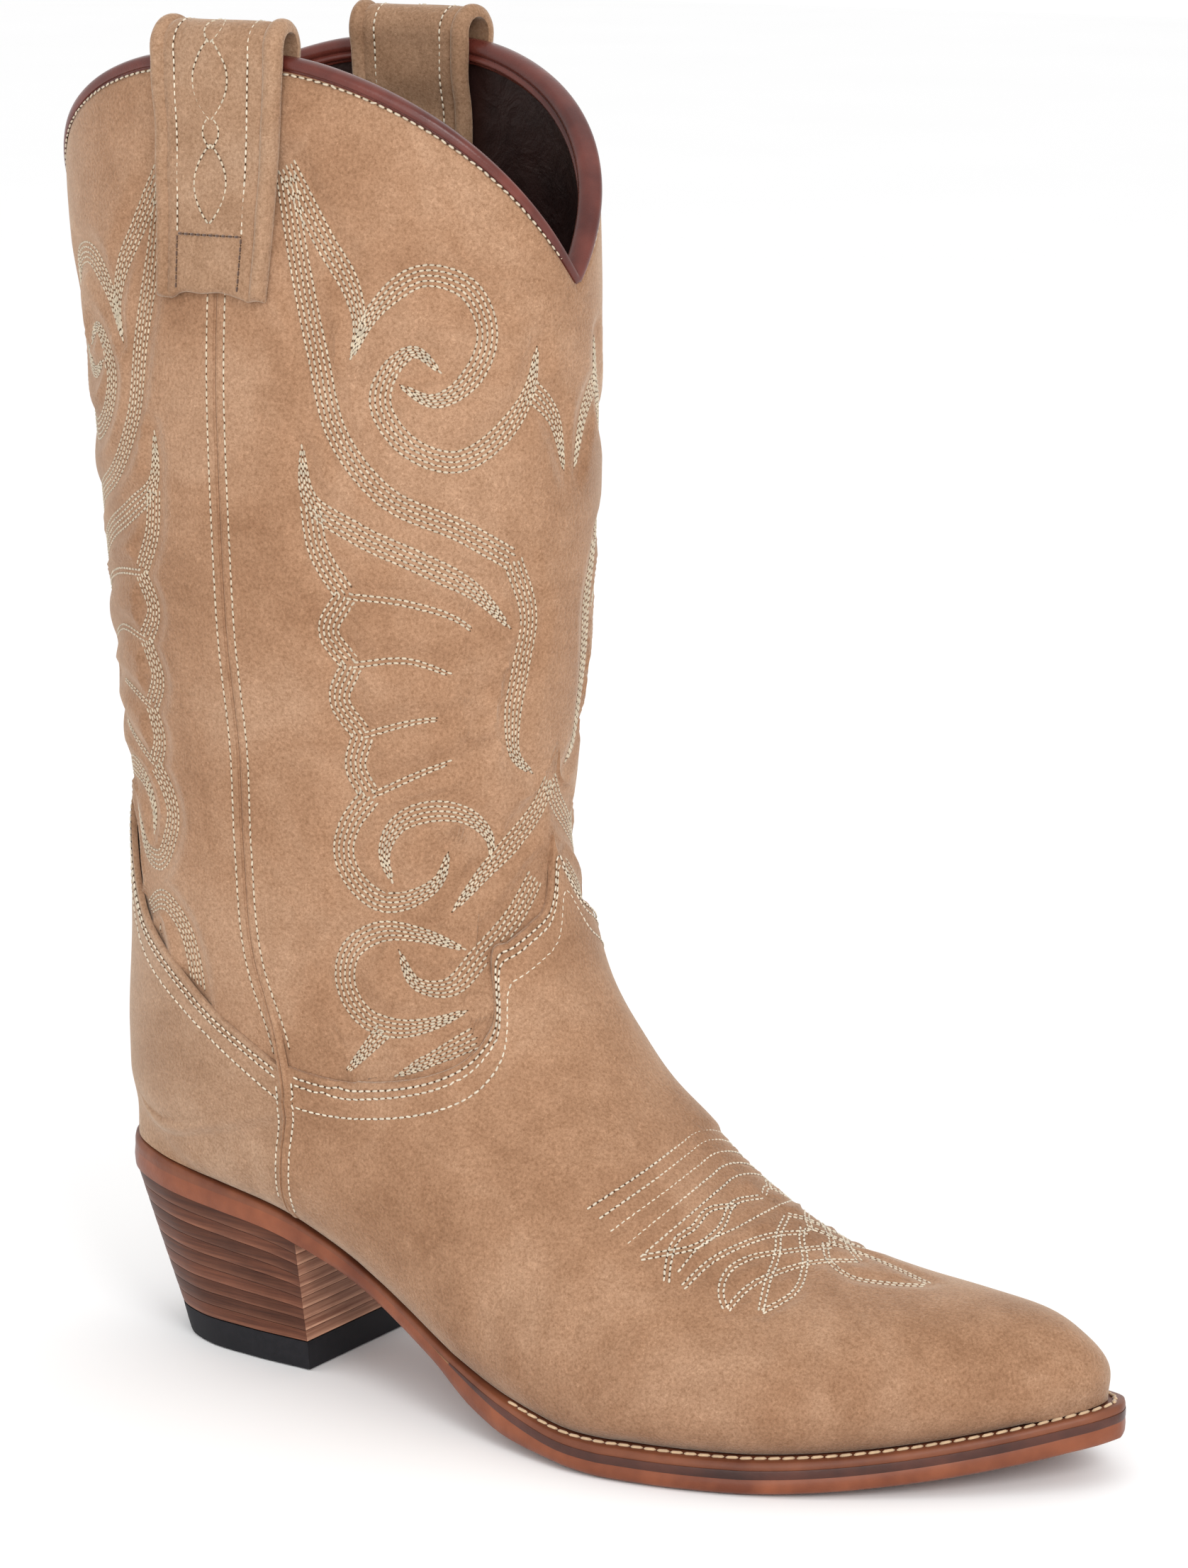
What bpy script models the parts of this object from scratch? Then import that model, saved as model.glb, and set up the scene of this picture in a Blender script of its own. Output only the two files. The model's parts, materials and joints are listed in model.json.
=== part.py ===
"""A women's cowboy boot, right foot, about EU 38: welted leather sole, stacked heel, two-piece shaft.

Design axes in millimetres: x from the back of the sole to the toe, y to the wearer's left (the inner
side of this right boot), z up from the ground. The finished boot hangs from one empty that puts the
origin at the middle of its bounding box's base. Blender units are metres.
"""
import bmesh
import bpy
import numpy as np

for existing in list(bpy.data.objects):
    bpy.data.objects.remove(existing)

MM = 0.001
GAP = 0.3  # clearance between pieces that touch on the real boot

# Layers of the upper, as distances outside the shaft leather's outer face.
LINING = (-3.1, -1.8)
MIDDLE = (-1.5, 0.0)  # shaft leather
BOARD = (-1.25, -0.4)  # stiffeners and interlining, below the shaft leather
COVER = (0.5, 2.0)  # vamp and counter, lapped over the shaft
LAP = 8.0
BUTT = 0.8  # open joint between two linings that meet edge to edge

# Sole, from the ground up: height of the outsole's underside along the boot.
GROUND_X = (-2, 30, 64, 80, 100, 120, 140, 158, 170, 205, 230, 255, 280)
GROUND_Z = (44.5, 41, 36, 30.5, 21.5, 12.5, 5.2, 1, 0, 0, 1.8, 5.8, 11.5)
THICKNESS_X = (0, 40, 66, 90, 120, 150, 175, 282)
OUTSOLE_THICKNESS = (4.5, 4.5, 4.2, 3.6, 3.8, 4.6, 5, 5)
WELT_THICKNESS = (3.2, 2.0, 1.0, 0.8, 1.2, 2.4, 3, 3)
EXTENSION_X = (0, 30, 66, 90, 120, 150, 175, 282)
EXTENSION = (1.0, 1.4, 1.5, 1.2, 1.6, 3.6, 4.6, 4.6)  # how far the welt stands out past the vamp
UPPER_THICKNESS = COVER[1] - LINING[0]
FEATHER_GAP = 1.8 * GAP  # between the welt and the upper's lower edge
INSOLE_LIFT = 1.2
INSOLE_INSET = UPPER_THICKNESS + 1.8  # from the vamp's outer face to the insole's edge
SOCK_INSET = UPPER_THICKNESS + 2.0
SOCK_TOP_INSET = UPPER_THICKNESS + 3.0
INSOLE_THICKNESS = 2.6
SOCK_THICKNESS = 1.2

# Sole outline, outer side from the heel to the toe, then the inner side back to the heel.
OUTLINE = (
    (-1.5, 0), (0, -9.5), (6, -18.5), (18, -25.5), (40, -29.5), (66, -31), (90, -33), (115, -40),
    (140, -48), (162, -52.5), (185, -50.5), (210, -42.5), (235, -28), (255, -13), (268, -1),
    (275.5, 7.5), (277.5, 13), (275.5, 19.5), (267, 28), (250, 35.5), (225, 41), (200, 42.5),
    (175, 39), (145, 32), (115, 26.5), (90, 25.5), (66, 28), (40, 29), (18, 25.5), (6, 18.5), (0, 9.5),
)
OUTLINE_STEPS = 1200

# Heel.
HEEL_BREAST = 65.5
HEEL_BASE = 7.5
HEEL_LIFTS = 9
HEEL_TAPER_X = 0.20
HEEL_TAPER_Y = 0.16
HEEL_SETBACK = 0.4  # heel's back edge, in front of the sole's
HEEL_WIDTH = 0.985  # of the sole's width, at the seat
TOP_PIECE_LEVEL = 1.18  # how far down the heel's taper the top piece's underside is
NAIL_PLACES = ((14, 0), (28, -13), (28, 13), (50, -14), (50, 14))
NAIL_RADIUS = 0.9
NAIL_HOLE_RADIUS = 1.3
NAIL_LENGTH = 21.0
NAIL_SUNK = 0.5  # nail heads, below the insole's upper face
NAILED_LIFTS = 4
SHANK_FROM, SHANK_TO = 34.0, 148.0
SHANK_HALF_WIDTH = 6.5
SHANK_THICKNESS = 1.2
SHANK_LIFT = 0.35  # above the cork's underside
SLOT_CLEARANCE = 0.4
WELT_JOINT = 62.0  # x at which the welt ends and the rand begins
JOINT_HALF_GAP = 0.4

# Pull straps: centre of the ribbon as (distance outside the shaft, height), outer end to inner end.
STRAP_X = 57.8
STRAP_LEG_OUT = ((2.7, 277), (2.7, 299), (2.7, 318), (3.1, 326), (3.2, 333))
STRAP_LEG_IN = ((-6.4, 333), (-6.4, 326), (-5.0, 318), (-5.0, 298))
STRAP_CROWN = (-1.6, 337.6, 4.8)  # centre of the bend and its radius
STRAP_THICKNESS = 2.4
STRAP_HALF_WIDTH = (15.6, 18.8)  # at its lower end and at its crown
STRAP_FLARE = (277.0, 337.0)  # heights between which it widens

# The upper's surface, as sections from the leg (first) to the toe (last). Each row holds the section's
# back or bottom end (x, z), its front end (x, z), the front end's y, and for the outer and the inner
# side three numbers that shape a Bezier half-section: y, share of the depth, y. From station SEAT on the
# back end follows the sole's edge, so its z is worked out and stays None here.
ROUND = 4 / 3
SEAT = 8


def oval(half_width):
    return (ROUND * half_width, -1.0, ROUND * half_width)


STATIONS = (
    (-13, 350, 128, 350, 0, *oval(43), *oval(43)),
    (-14, 300, 131, 300, 0, *oval(45), *oval(45)),
    (-6, 250, 130, 250, 0, *oval(50), *oval(50)),
    (-1, 200, 128, 200, 0, *oval(50), *oval(50)),
    (1, 165, 124.5, 165, 0, *oval(44.5), *oval(44.5)),
    (4, 138, 123, 143, 0, *oval(43), *oval(43)),
    (3.5, 110, 125.5, 127, 1, *oval(42), *oval(42)),
    (0, 80, 130, 112, 2, 49, -1, 57, 48, -1, 54),
    (1.3, None, 136, 99.5, 3, 44, -1, 58, 42, -1, 52),
    (8, None, 142.5, 89.5, 4, 34, -0.8, 60, 32, -0.8, 50),
    (24, None, 151, 80, 5, 34, -0.7, 62, 31, -0.7, 47),
    (46, None, 162, 70, 6, 38, -0.6, 62, 33, -0.6, 44),
    (76, None, 174, 59.8, 7, 44, -0.5, 58, 35, -0.5, 40),
    (110, None, 188.5, 51, 8, 54, -0.4, 50, 38, -0.4, 36),
    (145, None, 204, 44.3, 8, 60, -0.3, 42, 44, -0.3, 34),
    (178, None, 220, 41, 8, 58, -0.2, 32, 46, -0.2, 32),
    (210, None, 238, 39.3, 9, 43, -0.1, 18, 43, -0.1, 28),
    (234, None, 254, 37, 10, 26, 0, 4, 37, 0, 26),
    (248, None, 264, 33, 11, 12, 0, -2, 31, 0, 22),
    (255, None, 270.5, 27, 12, 4, 0, -4, 27, 0, 20),
    (258, None, None, None, None, 0, 0, -8, 24, 0, 18),
)
LAST = len(STATIONS) - 1
LEG_TOP = 350.0
LEG_STEP = 50.0

# Seams and edges. A place on the front panels is (share of the way from the outer side seam over the
# front to the inner one, station); on the back panels the share runs from 0 at the back to 1 at a seam.
SEAM_X = (
    (0, 58), (1.4, 58.7), (2.7, 61.5), (5, 61), (6.3, 62.6), (7.5, 69.5), (9, 69), (11.5, 66.3), (11.7, 66.1),
)
SEAM_END = 11.7
JUNCTION = 7.55
RIM_FRONT = ((0, 0.30), (0.1, 0.33), (0.19, 0.44), (0.28, 0.62), (0.36, 0.84), (0.43, 1.08), (0.5, 1.36))
RIM_BACK = ((0, 1.26), (0.15, 1.03), (0.35, 0.70), (0.53, 0.50), (0.75, 0.35), (1, 0.30))
VAMP_EDGE = (
    (0, JUNCTION), (0.06, 7.85), (0.11, 8.1), (0.16, 8.3), (0.21, 8.35), (0.255, 8.2), (0.29, 7.87),
    (0.315, 7.5), (0.327, 7.1), (0.34, 6.65), (0.375, 6.45), (0.42, 6.25), (0.465, 5.95), (0.485, 5.55),
    (0.5, 5.0),
)
COUNTER_EDGE = ((0, 4.6), (0.2, 4.8), (0.5, 5.85), (0.73, 6.47), (0.86, 6.98), (1, JUNCTION))

FRONT_COLUMNS = 18
BACK_COLUMNS = 16
LEG_ROWS = 8
WAIST_ROWS = 8
TOE_ROWS = 5
COUNTER_ROWS = 5
PUFF_STATION = 16.0
PUFF_BUTT = 0.08  # stations between the interlining and the toe puff
WELT_RIBS = 49
RAND_RIBS = 27

BOOT = bpy.data.collections.new("cowboy_boot")
CUTTERS = bpy.data.collections.new("cutters")


# ---------------------------------------------------------------- curves and the sole's profile
def smooth(knots, values, at):
    """A smooth curve through the values at the knots (cubic, with tangents from the neighbours)."""
    knots = np.asarray(knots, float)
    values = np.asarray(values, float)
    at = np.asarray(at, float)
    step = np.diff(knots)
    slope = (np.diff(values, axis=0).T / step).T
    share = step[1:] / (step[1:] + step[:-1])
    tangent = np.empty_like(values)
    tangent[0] = slope[0]
    tangent[-1] = slope[-1]
    tangent[1:-1] = (slope[:-1].T * share + slope[1:].T * (1 - share)).T
    i = np.clip(np.searchsorted(knots, at, side="right") - 1, 0, len(knots) - 2)
    t = (at - knots[i]) / step[i]
    h = step[i]
    if values.ndim > 1:
        t = t[..., None]
        h = h[..., None]
    rise = 3 * t**2 - 2 * t**3
    start = (t**3 - 2 * t**2 + t) * h * tangent[i]
    end = (t**3 - t**2) * h * tangent[i + 1]
    return (1 - rise) * values[i] + rise * values[i + 1] + start + end


def through(points, at):
    """A smooth curve through (place, value) pairs."""
    table = np.array(points, float)
    return smooth(table[:, 0], table[:, 1], at)


def ground(x):
    """The outsole's underside, flat on the ground under the ball of the foot."""
    return np.maximum(smooth(GROUND_X, GROUND_Z, x), 0)


def slant(x):
    """Length along the sole per millimetre of x, which turns a thickness into a height."""
    rise = ground(np.asarray(x) + 0.5) - ground(np.asarray(x) - 0.5)
    return np.sqrt(1 + rise * rise)


def outsole_top(x):
    return ground(x) + np.interp(x, THICKNESS_X, OUTSOLE_THICKNESS) * slant(x)


def welt_bottom(x):
    return outsole_top(x) + GAP * slant(x)


def welt_top(x):
    return outsole_top(x) + (GAP + np.interp(x, THICKNESS_X, WELT_THICKNESS)) * slant(x)


def feather(x):
    """The height of the upper's lower edge."""
    return welt_top(x) + FEATHER_GAP * slant(x)


def insole_bottom(x):
    return feather(x) + INSOLE_LIFT


def extension(x):
    return np.interp(x, EXTENSION_X, EXTENSION)


def closed_outline():
    points = np.array(OUTLINE, float)
    points = np.vstack([points[-3:], points, points[:4]])
    length = np.r_[0, np.cumsum(np.linalg.norm(np.diff(points, axis=0), axis=1))]
    at = np.linspace(length[3], length[-4], OUTLINE_STEPS, endpoint=False)
    return smooth(length, points, at)


SOLE = closed_outline()


def inset(amount):
    """The sole's outline moved inwards by extension + amount, without the loops of tight corners."""
    along = np.roll(SOLE, -1, 0) - np.roll(SOLE, 1, 0)
    inward = np.c_[-along[:, 1], along[:, 0]] / np.linalg.norm(along, axis=1)[:, None]
    distance = extension(SOLE[:, 0]) + amount
    moved = SOLE + inward * distance[:, None]
    nearest = np.linalg.norm(moved[:, None] - SOLE[None, ::4], axis=2).min(axis=1)
    return moved[nearest > distance - 0.25]


def sides(curve):
    """A closed outline split at its heel and toe ends into the outer and the inner side."""
    heel = curve[:, 0].argmin()
    toe = curve[:, 0].argmax()
    count = len(curve)
    outer = np.roll(curve, -heel, 0)[: (toe - heel) % count + 1]
    inner = np.roll(curve, -toe, 0)[: (heel - toe) % count + 1][::-1]
    return outer, inner


FEATHER_OUTER, FEATHER_INNER = sides(inset(COVER[1]))
HEEL_Y = FEATHER_OUTER[0, 1]
TOE_X, TOE_Y = FEATHER_OUTER[-1]


# ---------------------------------------------------------------- the upper's surface
def station_table():
    rows = [[np.nan if value is None else value for value in row] for row in STATIONS]
    table = np.array(rows, float)
    table[SEAT:, 1] = feather(table[SEAT:, 0])
    table[-1, 2:5] = (TOE_X, feather(TOE_X), TOE_Y)
    return table


STATION_TABLE = station_table()


def skin(u, v):
    """Points of the shaft leather's outer face: u is the station, v runs from the back or the outer
    sole edge (0) over the front (0.5) to the inner sole edge or the back (1)."""
    u, v = np.broadcast_arrays(np.asarray(u, float), np.asarray(v, float))
    row = smooth(np.arange(LAST + 1), STATION_TABLE, u)
    inner = v > 0.5
    sign = np.where(inner, 1.0, -1.0)
    t = np.where(inner, 2 - 2 * v, 2 * v)
    back_x, back_z, front_x, front_z, front_y = (row[..., i] for i in range(5))
    first_y, first_depth, second_y = (np.where(inner, row[..., 8 + i], row[..., 5 + i]) for i in range(3))
    foot = u >= SEAT
    back_x = np.where(foot, np.maximum(back_x, FEATHER_OUTER[0, 0]), back_x)
    edge_outer = -np.interp(back_x, FEATHER_OUTER[:, 0], FEATHER_OUTER[:, 1])
    edge_inner = np.interp(back_x, FEATHER_INNER[:, 0], FEATHER_INNER[:, 1])
    back_y = sign * HEEL_Y * np.clip((u - SEAT + 2) / 2, 0, 1)
    back_y = np.where(foot, np.where(inner, edge_inner, edge_outer), back_y)
    back_z = np.where(foot, feather(back_x), back_z)
    b0 = (1 - t) ** 3
    b1 = 3 * (1 - t) ** 2 * t
    b2 = 3 * (1 - t) * t**2
    b3 = t**3
    depth = (1 - b0 + first_depth * b1 + b2 + b3) / 2
    width = b0 * back_y + b1 * first_y + b2 * second_y + b3 * sign * front_y
    x = back_x + depth * (front_x - back_x)
    z = back_z + depth * (front_z - back_z)
    return np.stack([x, sign * width, z], -1)


def height_share(points):
    """0 at the welt, 1 from 9 mm above it."""
    share = np.clip((points[..., 2] - feather(points[..., 0])) / 9, 0, 1)
    return share * share * (3 - 2 * share)


def outward(u, v):
    """The surface's normals, turned level close above the welt so that every layer stands on it."""
    step = 2e-3
    u, v = np.broadcast_arrays(np.asarray(u, float), np.asarray(v, float))
    along = skin(np.minimum(u + step, LAST), v) - skin(np.maximum(u - step, 0), v)
    ridge = np.abs(v - 0.5) < step
    low = np.where(ridge | (v < 0.5), 0, 0.5)
    high = np.where(ridge | (v > 0.5), 1, 0.5)
    round_ = skin(u, np.minimum(v + step, high)) - skin(u, np.maximum(v - step, low))
    normal = np.cross(along, round_)
    normal[..., 2] *= height_share(skin(u, v))
    return normal / np.linalg.norm(normal, axis=-1, keepdims=True)


def upper(u, v, offset):
    u, v = np.broadcast_arrays(np.asarray(u, float), np.asarray(v, float))
    base = skin(u, v)
    moved = base + outward(u, v) * np.asarray(offset, float)[..., None]
    level = 1 - height_share(base)
    moved[..., 2] += level * (feather(moved[..., 0]) - feather(base[..., 0]))
    return moved


def place_at_x(u, x, inner):
    """The v at which the section u reaches x, on the outer or the inner side."""
    t = np.linspace(0, 1, 161)
    u, x = np.broadcast_arrays(np.asarray(u, float), np.asarray(x, float))
    found = np.empty(u.shape)
    for index in np.ndindex(u.shape):
        v = 1 - t / 2 if inner else t / 2
        section = skin(np.full(t.shape, u[index]), v)[:, 0]
        found[index] = np.interp(x[index], section, v) if x[index] > section[0] else v[0]
    return found


SEAM_U = np.linspace(0, SEAM_END, 118)
SEAM_OUTER = place_at_x(SEAM_U, through(SEAM_X, SEAM_U), False)
SEAM_INNER = place_at_x(SEAM_U, through(SEAM_X, SEAM_U), True)
SEAM_OUTER[-1] = 0
SEAM_INNER[-1] = 1


def seam(u, inner):
    return np.interp(u, SEAM_U, SEAM_INNER if inner else SEAM_OUTER)


def share_per_mm(u, v):
    """How much v changes over one millimetre round the section."""
    step = 2e-3
    side_step = np.where(np.asarray(v) > 0.5, -step, step)
    reach = np.linalg.norm(skin(u, v + side_step) - skin(u, v), axis=-1)
    return step / reach


def stations_per_mm(u, v):
    step = 5e-3
    return step / np.linalg.norm(skin(np.asarray(u) + step, v) - skin(u, v), axis=-1)


SEAM_CLEARANCE = 1.3  # from the seam line to the panel's edge, which leaves room for the piping


def front_place(share, u):
    """v of a share of the way between the side seams, over the front, at the station u."""
    outer = seam(u, False)
    inner = seam(u, True)
    fade = np.clip((SEAM_END + 0.3 - u) / 0.3, 0, 1)
    outer = outer + SEAM_CLEARANCE * fade * share_per_mm(u, outer)
    inner = inner - SEAM_CLEARANCE * fade * share_per_mm(u, inner)
    return outer + (inner - outer) * share


def back_place(share, u):
    """v of a share from -1 (outer seam) over 0 (the back) to 1 (inner seam), at the station u."""
    outer = seam(u, False)
    inner = 1 - seam(u, True)
    outer = outer - SEAM_CLEARANCE * share_per_mm(u, outer)
    inner = inner - SEAM_CLEARANCE * share_per_mm(u, 1 - inner)
    return np.where(share < 0, -share * outer, 1 - share * inner)


def from_ends(share):
    """Distance of a front share to its nearer seam, from 0 to 0.5."""
    return np.minimum(share, 1 - share)


def crowded(count):
    """Shares from -1 to 1, closer together in the middle, where the leg curves most."""
    even = np.linspace(-1, 1, count + 1)
    return even * (0.55 + 0.45 * np.abs(even))


FRONT_SHARES = 0.5 + 0.5 * crowded(FRONT_COLUMNS)
BACK_SHARES = crowded(BACK_COLUMNS)


def lowered(edge, share, place, distance):
    """The stations a distance in millimetres below an edge."""
    return edge + distance * stations_per_mm(edge, place(share, edge))


# ---------------------------------------------------------------- making objects
def material(name, colour, roughness, metallic=0.0):
    made = bpy.data.materials.new(name)
    made.use_nodes = True
    shader = made.node_tree.nodes["Principled BSDF"]
    shader.inputs["Base Color"].default_value = (*colour, 1)
    shader.inputs["Roughness"].default_value = roughness
    shader.inputs["Metallic"].default_value = metallic
    made.diffuse_color = (*colour, 1)
    return made


def add_object(name, mesh, finish, collection=BOOT):
    made = bpy.data.objects.new(name, mesh)
    collection.objects.link(made)
    if finish:
        mesh.materials.append(finish)
    return made


def closed_mesh(name, points, faces):
    mesh = bpy.data.meshes.new(name)
    shape = bmesh.new()
    corners = [shape.verts.new(point * MM) for point in points]
    for face in faces:
        shape.faces.new([corners[i] for i in face])
    bmesh.ops.remove_doubles(shape, verts=shape.verts, dist=2e-6)
    bmesh.ops.recalc_face_normals(shape, faces=shape.faces)
    shape.to_mesh(mesh)
    shape.free()
    mesh.shade_smooth()
    mesh.set_sharp_from_angle(angle=np.radians(40))
    return mesh


def loft(name, low, high, finish, collection=BOOT):
    """A closed solid between two sheets of points with the same rows and columns."""
    rows, columns = low.shape[:2]
    points = np.concatenate([low.reshape(-1, 3), high.reshape(-1, 3)])
    number = np.arange(rows * columns).reshape(rows, columns)
    faces = []
    for i in range(rows - 1):
        for j in range(columns - 1):
            near, far = number[i, j], number[i + 1, j + 1]
            for corner in (number[i + 1, j], number[i, j + 1]):
                faces.append([near, corner, far])
                faces.append([point + rows * columns for point in (far, corner, near)])
    border = [*number[0, :-1], *number[:-1, -1], *number[-1, :0:-1], *number[:0:-1, 0]]
    for start, end in zip(border, border[1:] + border[:1]):
        faces.append([start, end, end + rows * columns, start + rows * columns])
    return add_object(name, closed_mesh(name, points, faces), finish, collection)


def sweep(name, rings, finish):
    """A closed solid through rings of points, capped at both ends."""
    count, size = rings.shape[:2]
    faces = [list(range(size)), [(count - 1) * size + i for i in reversed(range(size))]]
    for i in range(count - 1):
        for j in range(size):
            after = (j + 1) % size
            faces.append([i * size + j, (i + 1) * size + j, (i + 1) * size + after, i * size + after])
    return add_object(name, closed_mesh(name, rings.reshape(-1, 3), faces), finish)


def cut(target, cutter):
    """Takes the cutter's shape out of the target."""
    modifier = target.modifiers.new("cut_" + cutter.name, "BOOLEAN")
    modifier.operation = "DIFFERENCE"
    modifier.solver = "EXACT"
    modifier.object = cutter


# ---------------------------------------------------------------- the upper
def panel(name, u, v, layer, finish):
    """A sheet of leather through the places (u, v), between a layer's inner and outer face."""
    faces = [upper(u, v, np.full(u.shape, face)) for face in layer]
    return loft(name, faces[0], faces[1], finish)


def rows_between(start, end, count):
    return start[None] + (end - start)[None] * np.linspace(0, 1, count + 1)[:, None]


def rim(shares, table, mirrored):
    return through(table, from_ends(shares) if mirrored else np.abs(shares))


VAMP_TOP = through(VAMP_EDGE, from_ends(FRONT_SHARES))
COUNTER_TOP = through(COUNTER_EDGE, np.abs(BACK_SHARES))


def make_shaft(leather, lining):
    for end, place, shares, top, edge in (
        ("front", front_place, FRONT_SHARES, rim(FRONT_SHARES, RIM_FRONT, True), VAMP_TOP),
        ("back", back_place, BACK_SHARES, rim(BACK_SHARES, RIM_BACK, False), COUNTER_TOP),
    ):
        u = np.vstack([rows_between(top, edge, LEG_ROWS), lowered(edge, shares, place, LAP)])
        v = place(np.broadcast_to(shares, u.shape), u)
        panel("shaft_" + end, u, v, MIDDLE, leather)
        panel("shaft_lining_" + end, u, v, LINING, lining)


def make_vamp(leather, lining, board):
    """The vamp, with its lining, interlining and toe puff inside it."""
    below = lowered(VAMP_TOP, FRONT_SHARES, front_place, LAP + BUTT)
    puff = np.full(below.shape, PUFF_STATION)
    toe = np.full(below.shape, float(LAST))
    waist = rows_between(below, puff, WAIST_ROWS)
    front = rows_between(puff, toe, TOE_ROWS)
    joint = waist.copy()
    joint[-1] -= PUFF_BUTT
    for name, rows, layer, finish in (
        ("vamp", [VAMP_TOP, *waist, *front[1:]], COVER, leather),
        ("vamp_lining", [*waist, *front[1:]], LINING, lining),
        ("vamp_interlining", joint, BOARD, board),
        ("toe_puff", front, BOARD, board),
    ):
        u = np.array(rows)
        panel(name, u, front_place(np.broadcast_to(FRONT_SHARES, u.shape), u), layer, finish)


def counter_sheet(heights):
    """(u, v) of the heel's cover: height 0 is the sole's edge and 1 the counter's top edge."""
    share = np.abs(BACK_SHARES)
    bottom_end = SEAM_END - SEAM_CLEARANCE * float(stations_per_mm(SEAM_END, 0.0))
    bottom = SEAT + (bottom_end - SEAT) * share**1.15
    u = bottom + (COUNTER_TOP - bottom) * heights
    seam_height = heights[:, :1]
    seam_u = bottom_end + (JUNCTION - bottom_end) * seam_height
    sides_v = []
    for inner in (False, True):
        along, at_top, end = (seam(place, inner) for place in (seam_u, COUNTER_TOP, JUNCTION))
        if inner:
            along, at_top, end = 1 - along, 1 - at_top, 1 - end
        bend = along - seam_height * end
        clear = SEAM_CLEARANCE * share_per_mm(u, np.clip(along, 0.01, 0.45)) * share**6
        shaped = share * at_top * heights + np.where(seam_height > 0, share**3 * bend - clear, 0)
        sides_v.append(np.maximum(shaped, 0))
    return u, np.where(BACK_SHARES < 0, sides_v[0], 1 - sides_v[1])


def make_counter(leather, lining, board):
    """The heel's outer cover, its stiffener and its lining."""
    below = lowered(COUNTER_TOP, BACK_SHARES, back_place, LAP + BUTT)
    share = np.abs(BACK_SHARES)
    bottom = SEAT + (SEAM_END - SEAT) * share**1.15
    lap_height = (below - bottom) / (COUNTER_TOP - bottom)
    heights = rows_between(np.zeros(lap_height.shape), lap_height, COUNTER_ROWS)
    u, v = counter_sheet(np.vstack([heights, np.ones(lap_height.shape)]))
    panel("counter_cover", u, v, COVER, leather)
    panel("heel_counter", u[:-1], v[:-1], BOARD, board)
    panel("heel_lining", u[:-1], v[:-1], LINING, lining)


def make_piping(leather):
    """A folded strip in each side seam, which steps out where the vamp and the counter begin."""
    half_width = SEAM_CLEARANCE - 0.7
    u = np.linspace(0.42, SEAM_END - 0.02, 30)
    step_out = np.clip((u - JUNCTION + 0.9) / 0.7, 0, 1) * COVER[1]
    for name, inner in (("side_piping_outer", False), ("side_piping_inner", True)):
        line = seam(u, inner)
        reach = half_width * share_per_mm(u, line)
        across = np.array([-1, 0, 1])
        v = np.clip(line[:, None] + reach[:, None] * across, 0, 1)
        u_grid = np.broadcast_to(u[:, None], v.shape)
        crown = 0.35 * (1 - across**2)
        low = upper(u_grid, v, np.full(v.shape, MIDDLE[0]) + step_out[:, None])
        high = upper(u_grid, v, 0.55 + step_out[:, None] + crown)
        loft(name, low, high, leather)


BINDING_PROFILE = (
    # distance outside the shaft leather, distance below the rim
    (0.4, 4.4), (1.1, 4.4), (1.4, 0.0), (0.9, -1.7), (-0.5, -2.7), (-2.6, -2.7), (-4.0, -1.7),
    (-4.7, 0.0), (-4.6, 4.4), (-3.9, 4.4), (-3.9, -0.35), (0.4, -0.35),
)


def make_binding(leather):
    """The rolled strip over the rim, in a front and a back length that meet at the side seams."""
    for name, place, shares, table, mirrored in (
        ("top_binding_front", front_place, FRONT_SHARES, RIM_FRONT, True),
        ("top_binding_back", back_place, BACK_SHARES, RIM_BACK, False),
    ):
        u = rim(shares, table, mirrored)
        v = place(shares, u)
        base = skin(u, v)
        normal = outward(u, v)
        along = np.gradient(base, axis=0)
        down = np.cross(along, normal)
        down /= np.linalg.norm(down, axis=1, keepdims=True)
        down *= -np.sign(down[:, 2:3])
        rings = np.stack([base + normal * out + down * drop for out, drop in BINDING_PROFILE], axis=1)
        sweep(name, rings, leather)


def make_strap(name, inner, leather):
    """A pull strap: a ribbon sewn to the shaft's outside, over the rim, and down its inside."""
    turn = np.radians(np.linspace(20, 160, 7))
    middle_out, middle_z, radius = STRAP_CROWN
    crown = np.c_[middle_out + radius * np.cos(turn), middle_z + radius * np.sin(turn)]
    path = np.vstack([STRAP_LEG_OUT, crown, STRAP_LEG_IN])
    length = np.r_[0, np.cumsum(np.linalg.norm(np.diff(path, axis=0), axis=1))]
    path = smooth(length, path, np.unique(np.r_[length, 12, 34]))
    along = np.gradient(path, axis=0)
    normal = np.c_[along[:, 1], -along[:, 0]] / np.linalg.norm(along, axis=1)[:, None]
    low_end, top = STRAP_HALF_WIDTH
    half_width = low_end + (top - low_end) * np.interp(path[:, 1], STRAP_FLARE, (0, 1))
    x = STRAP_X + half_width[:, None] * np.linspace(-1, 1, 5)
    sheets = []
    for offset in (-STRAP_THICKNESS / 2, STRAP_THICKNESS / 2):
        out = path[:, 0] + normal[:, 0] * offset
        z = path[:, 1] + normal[:, 1] * offset
        u = np.broadcast_to(((LEG_TOP - z) / LEG_STEP)[:, None], x.shape)
        v = place_at_x(u, x, inner)
        sheets.append(upper(u, v, np.broadcast_to(out[:, None], x.shape)))
    loft(name, sheets[0], sheets[1], leather)


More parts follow.
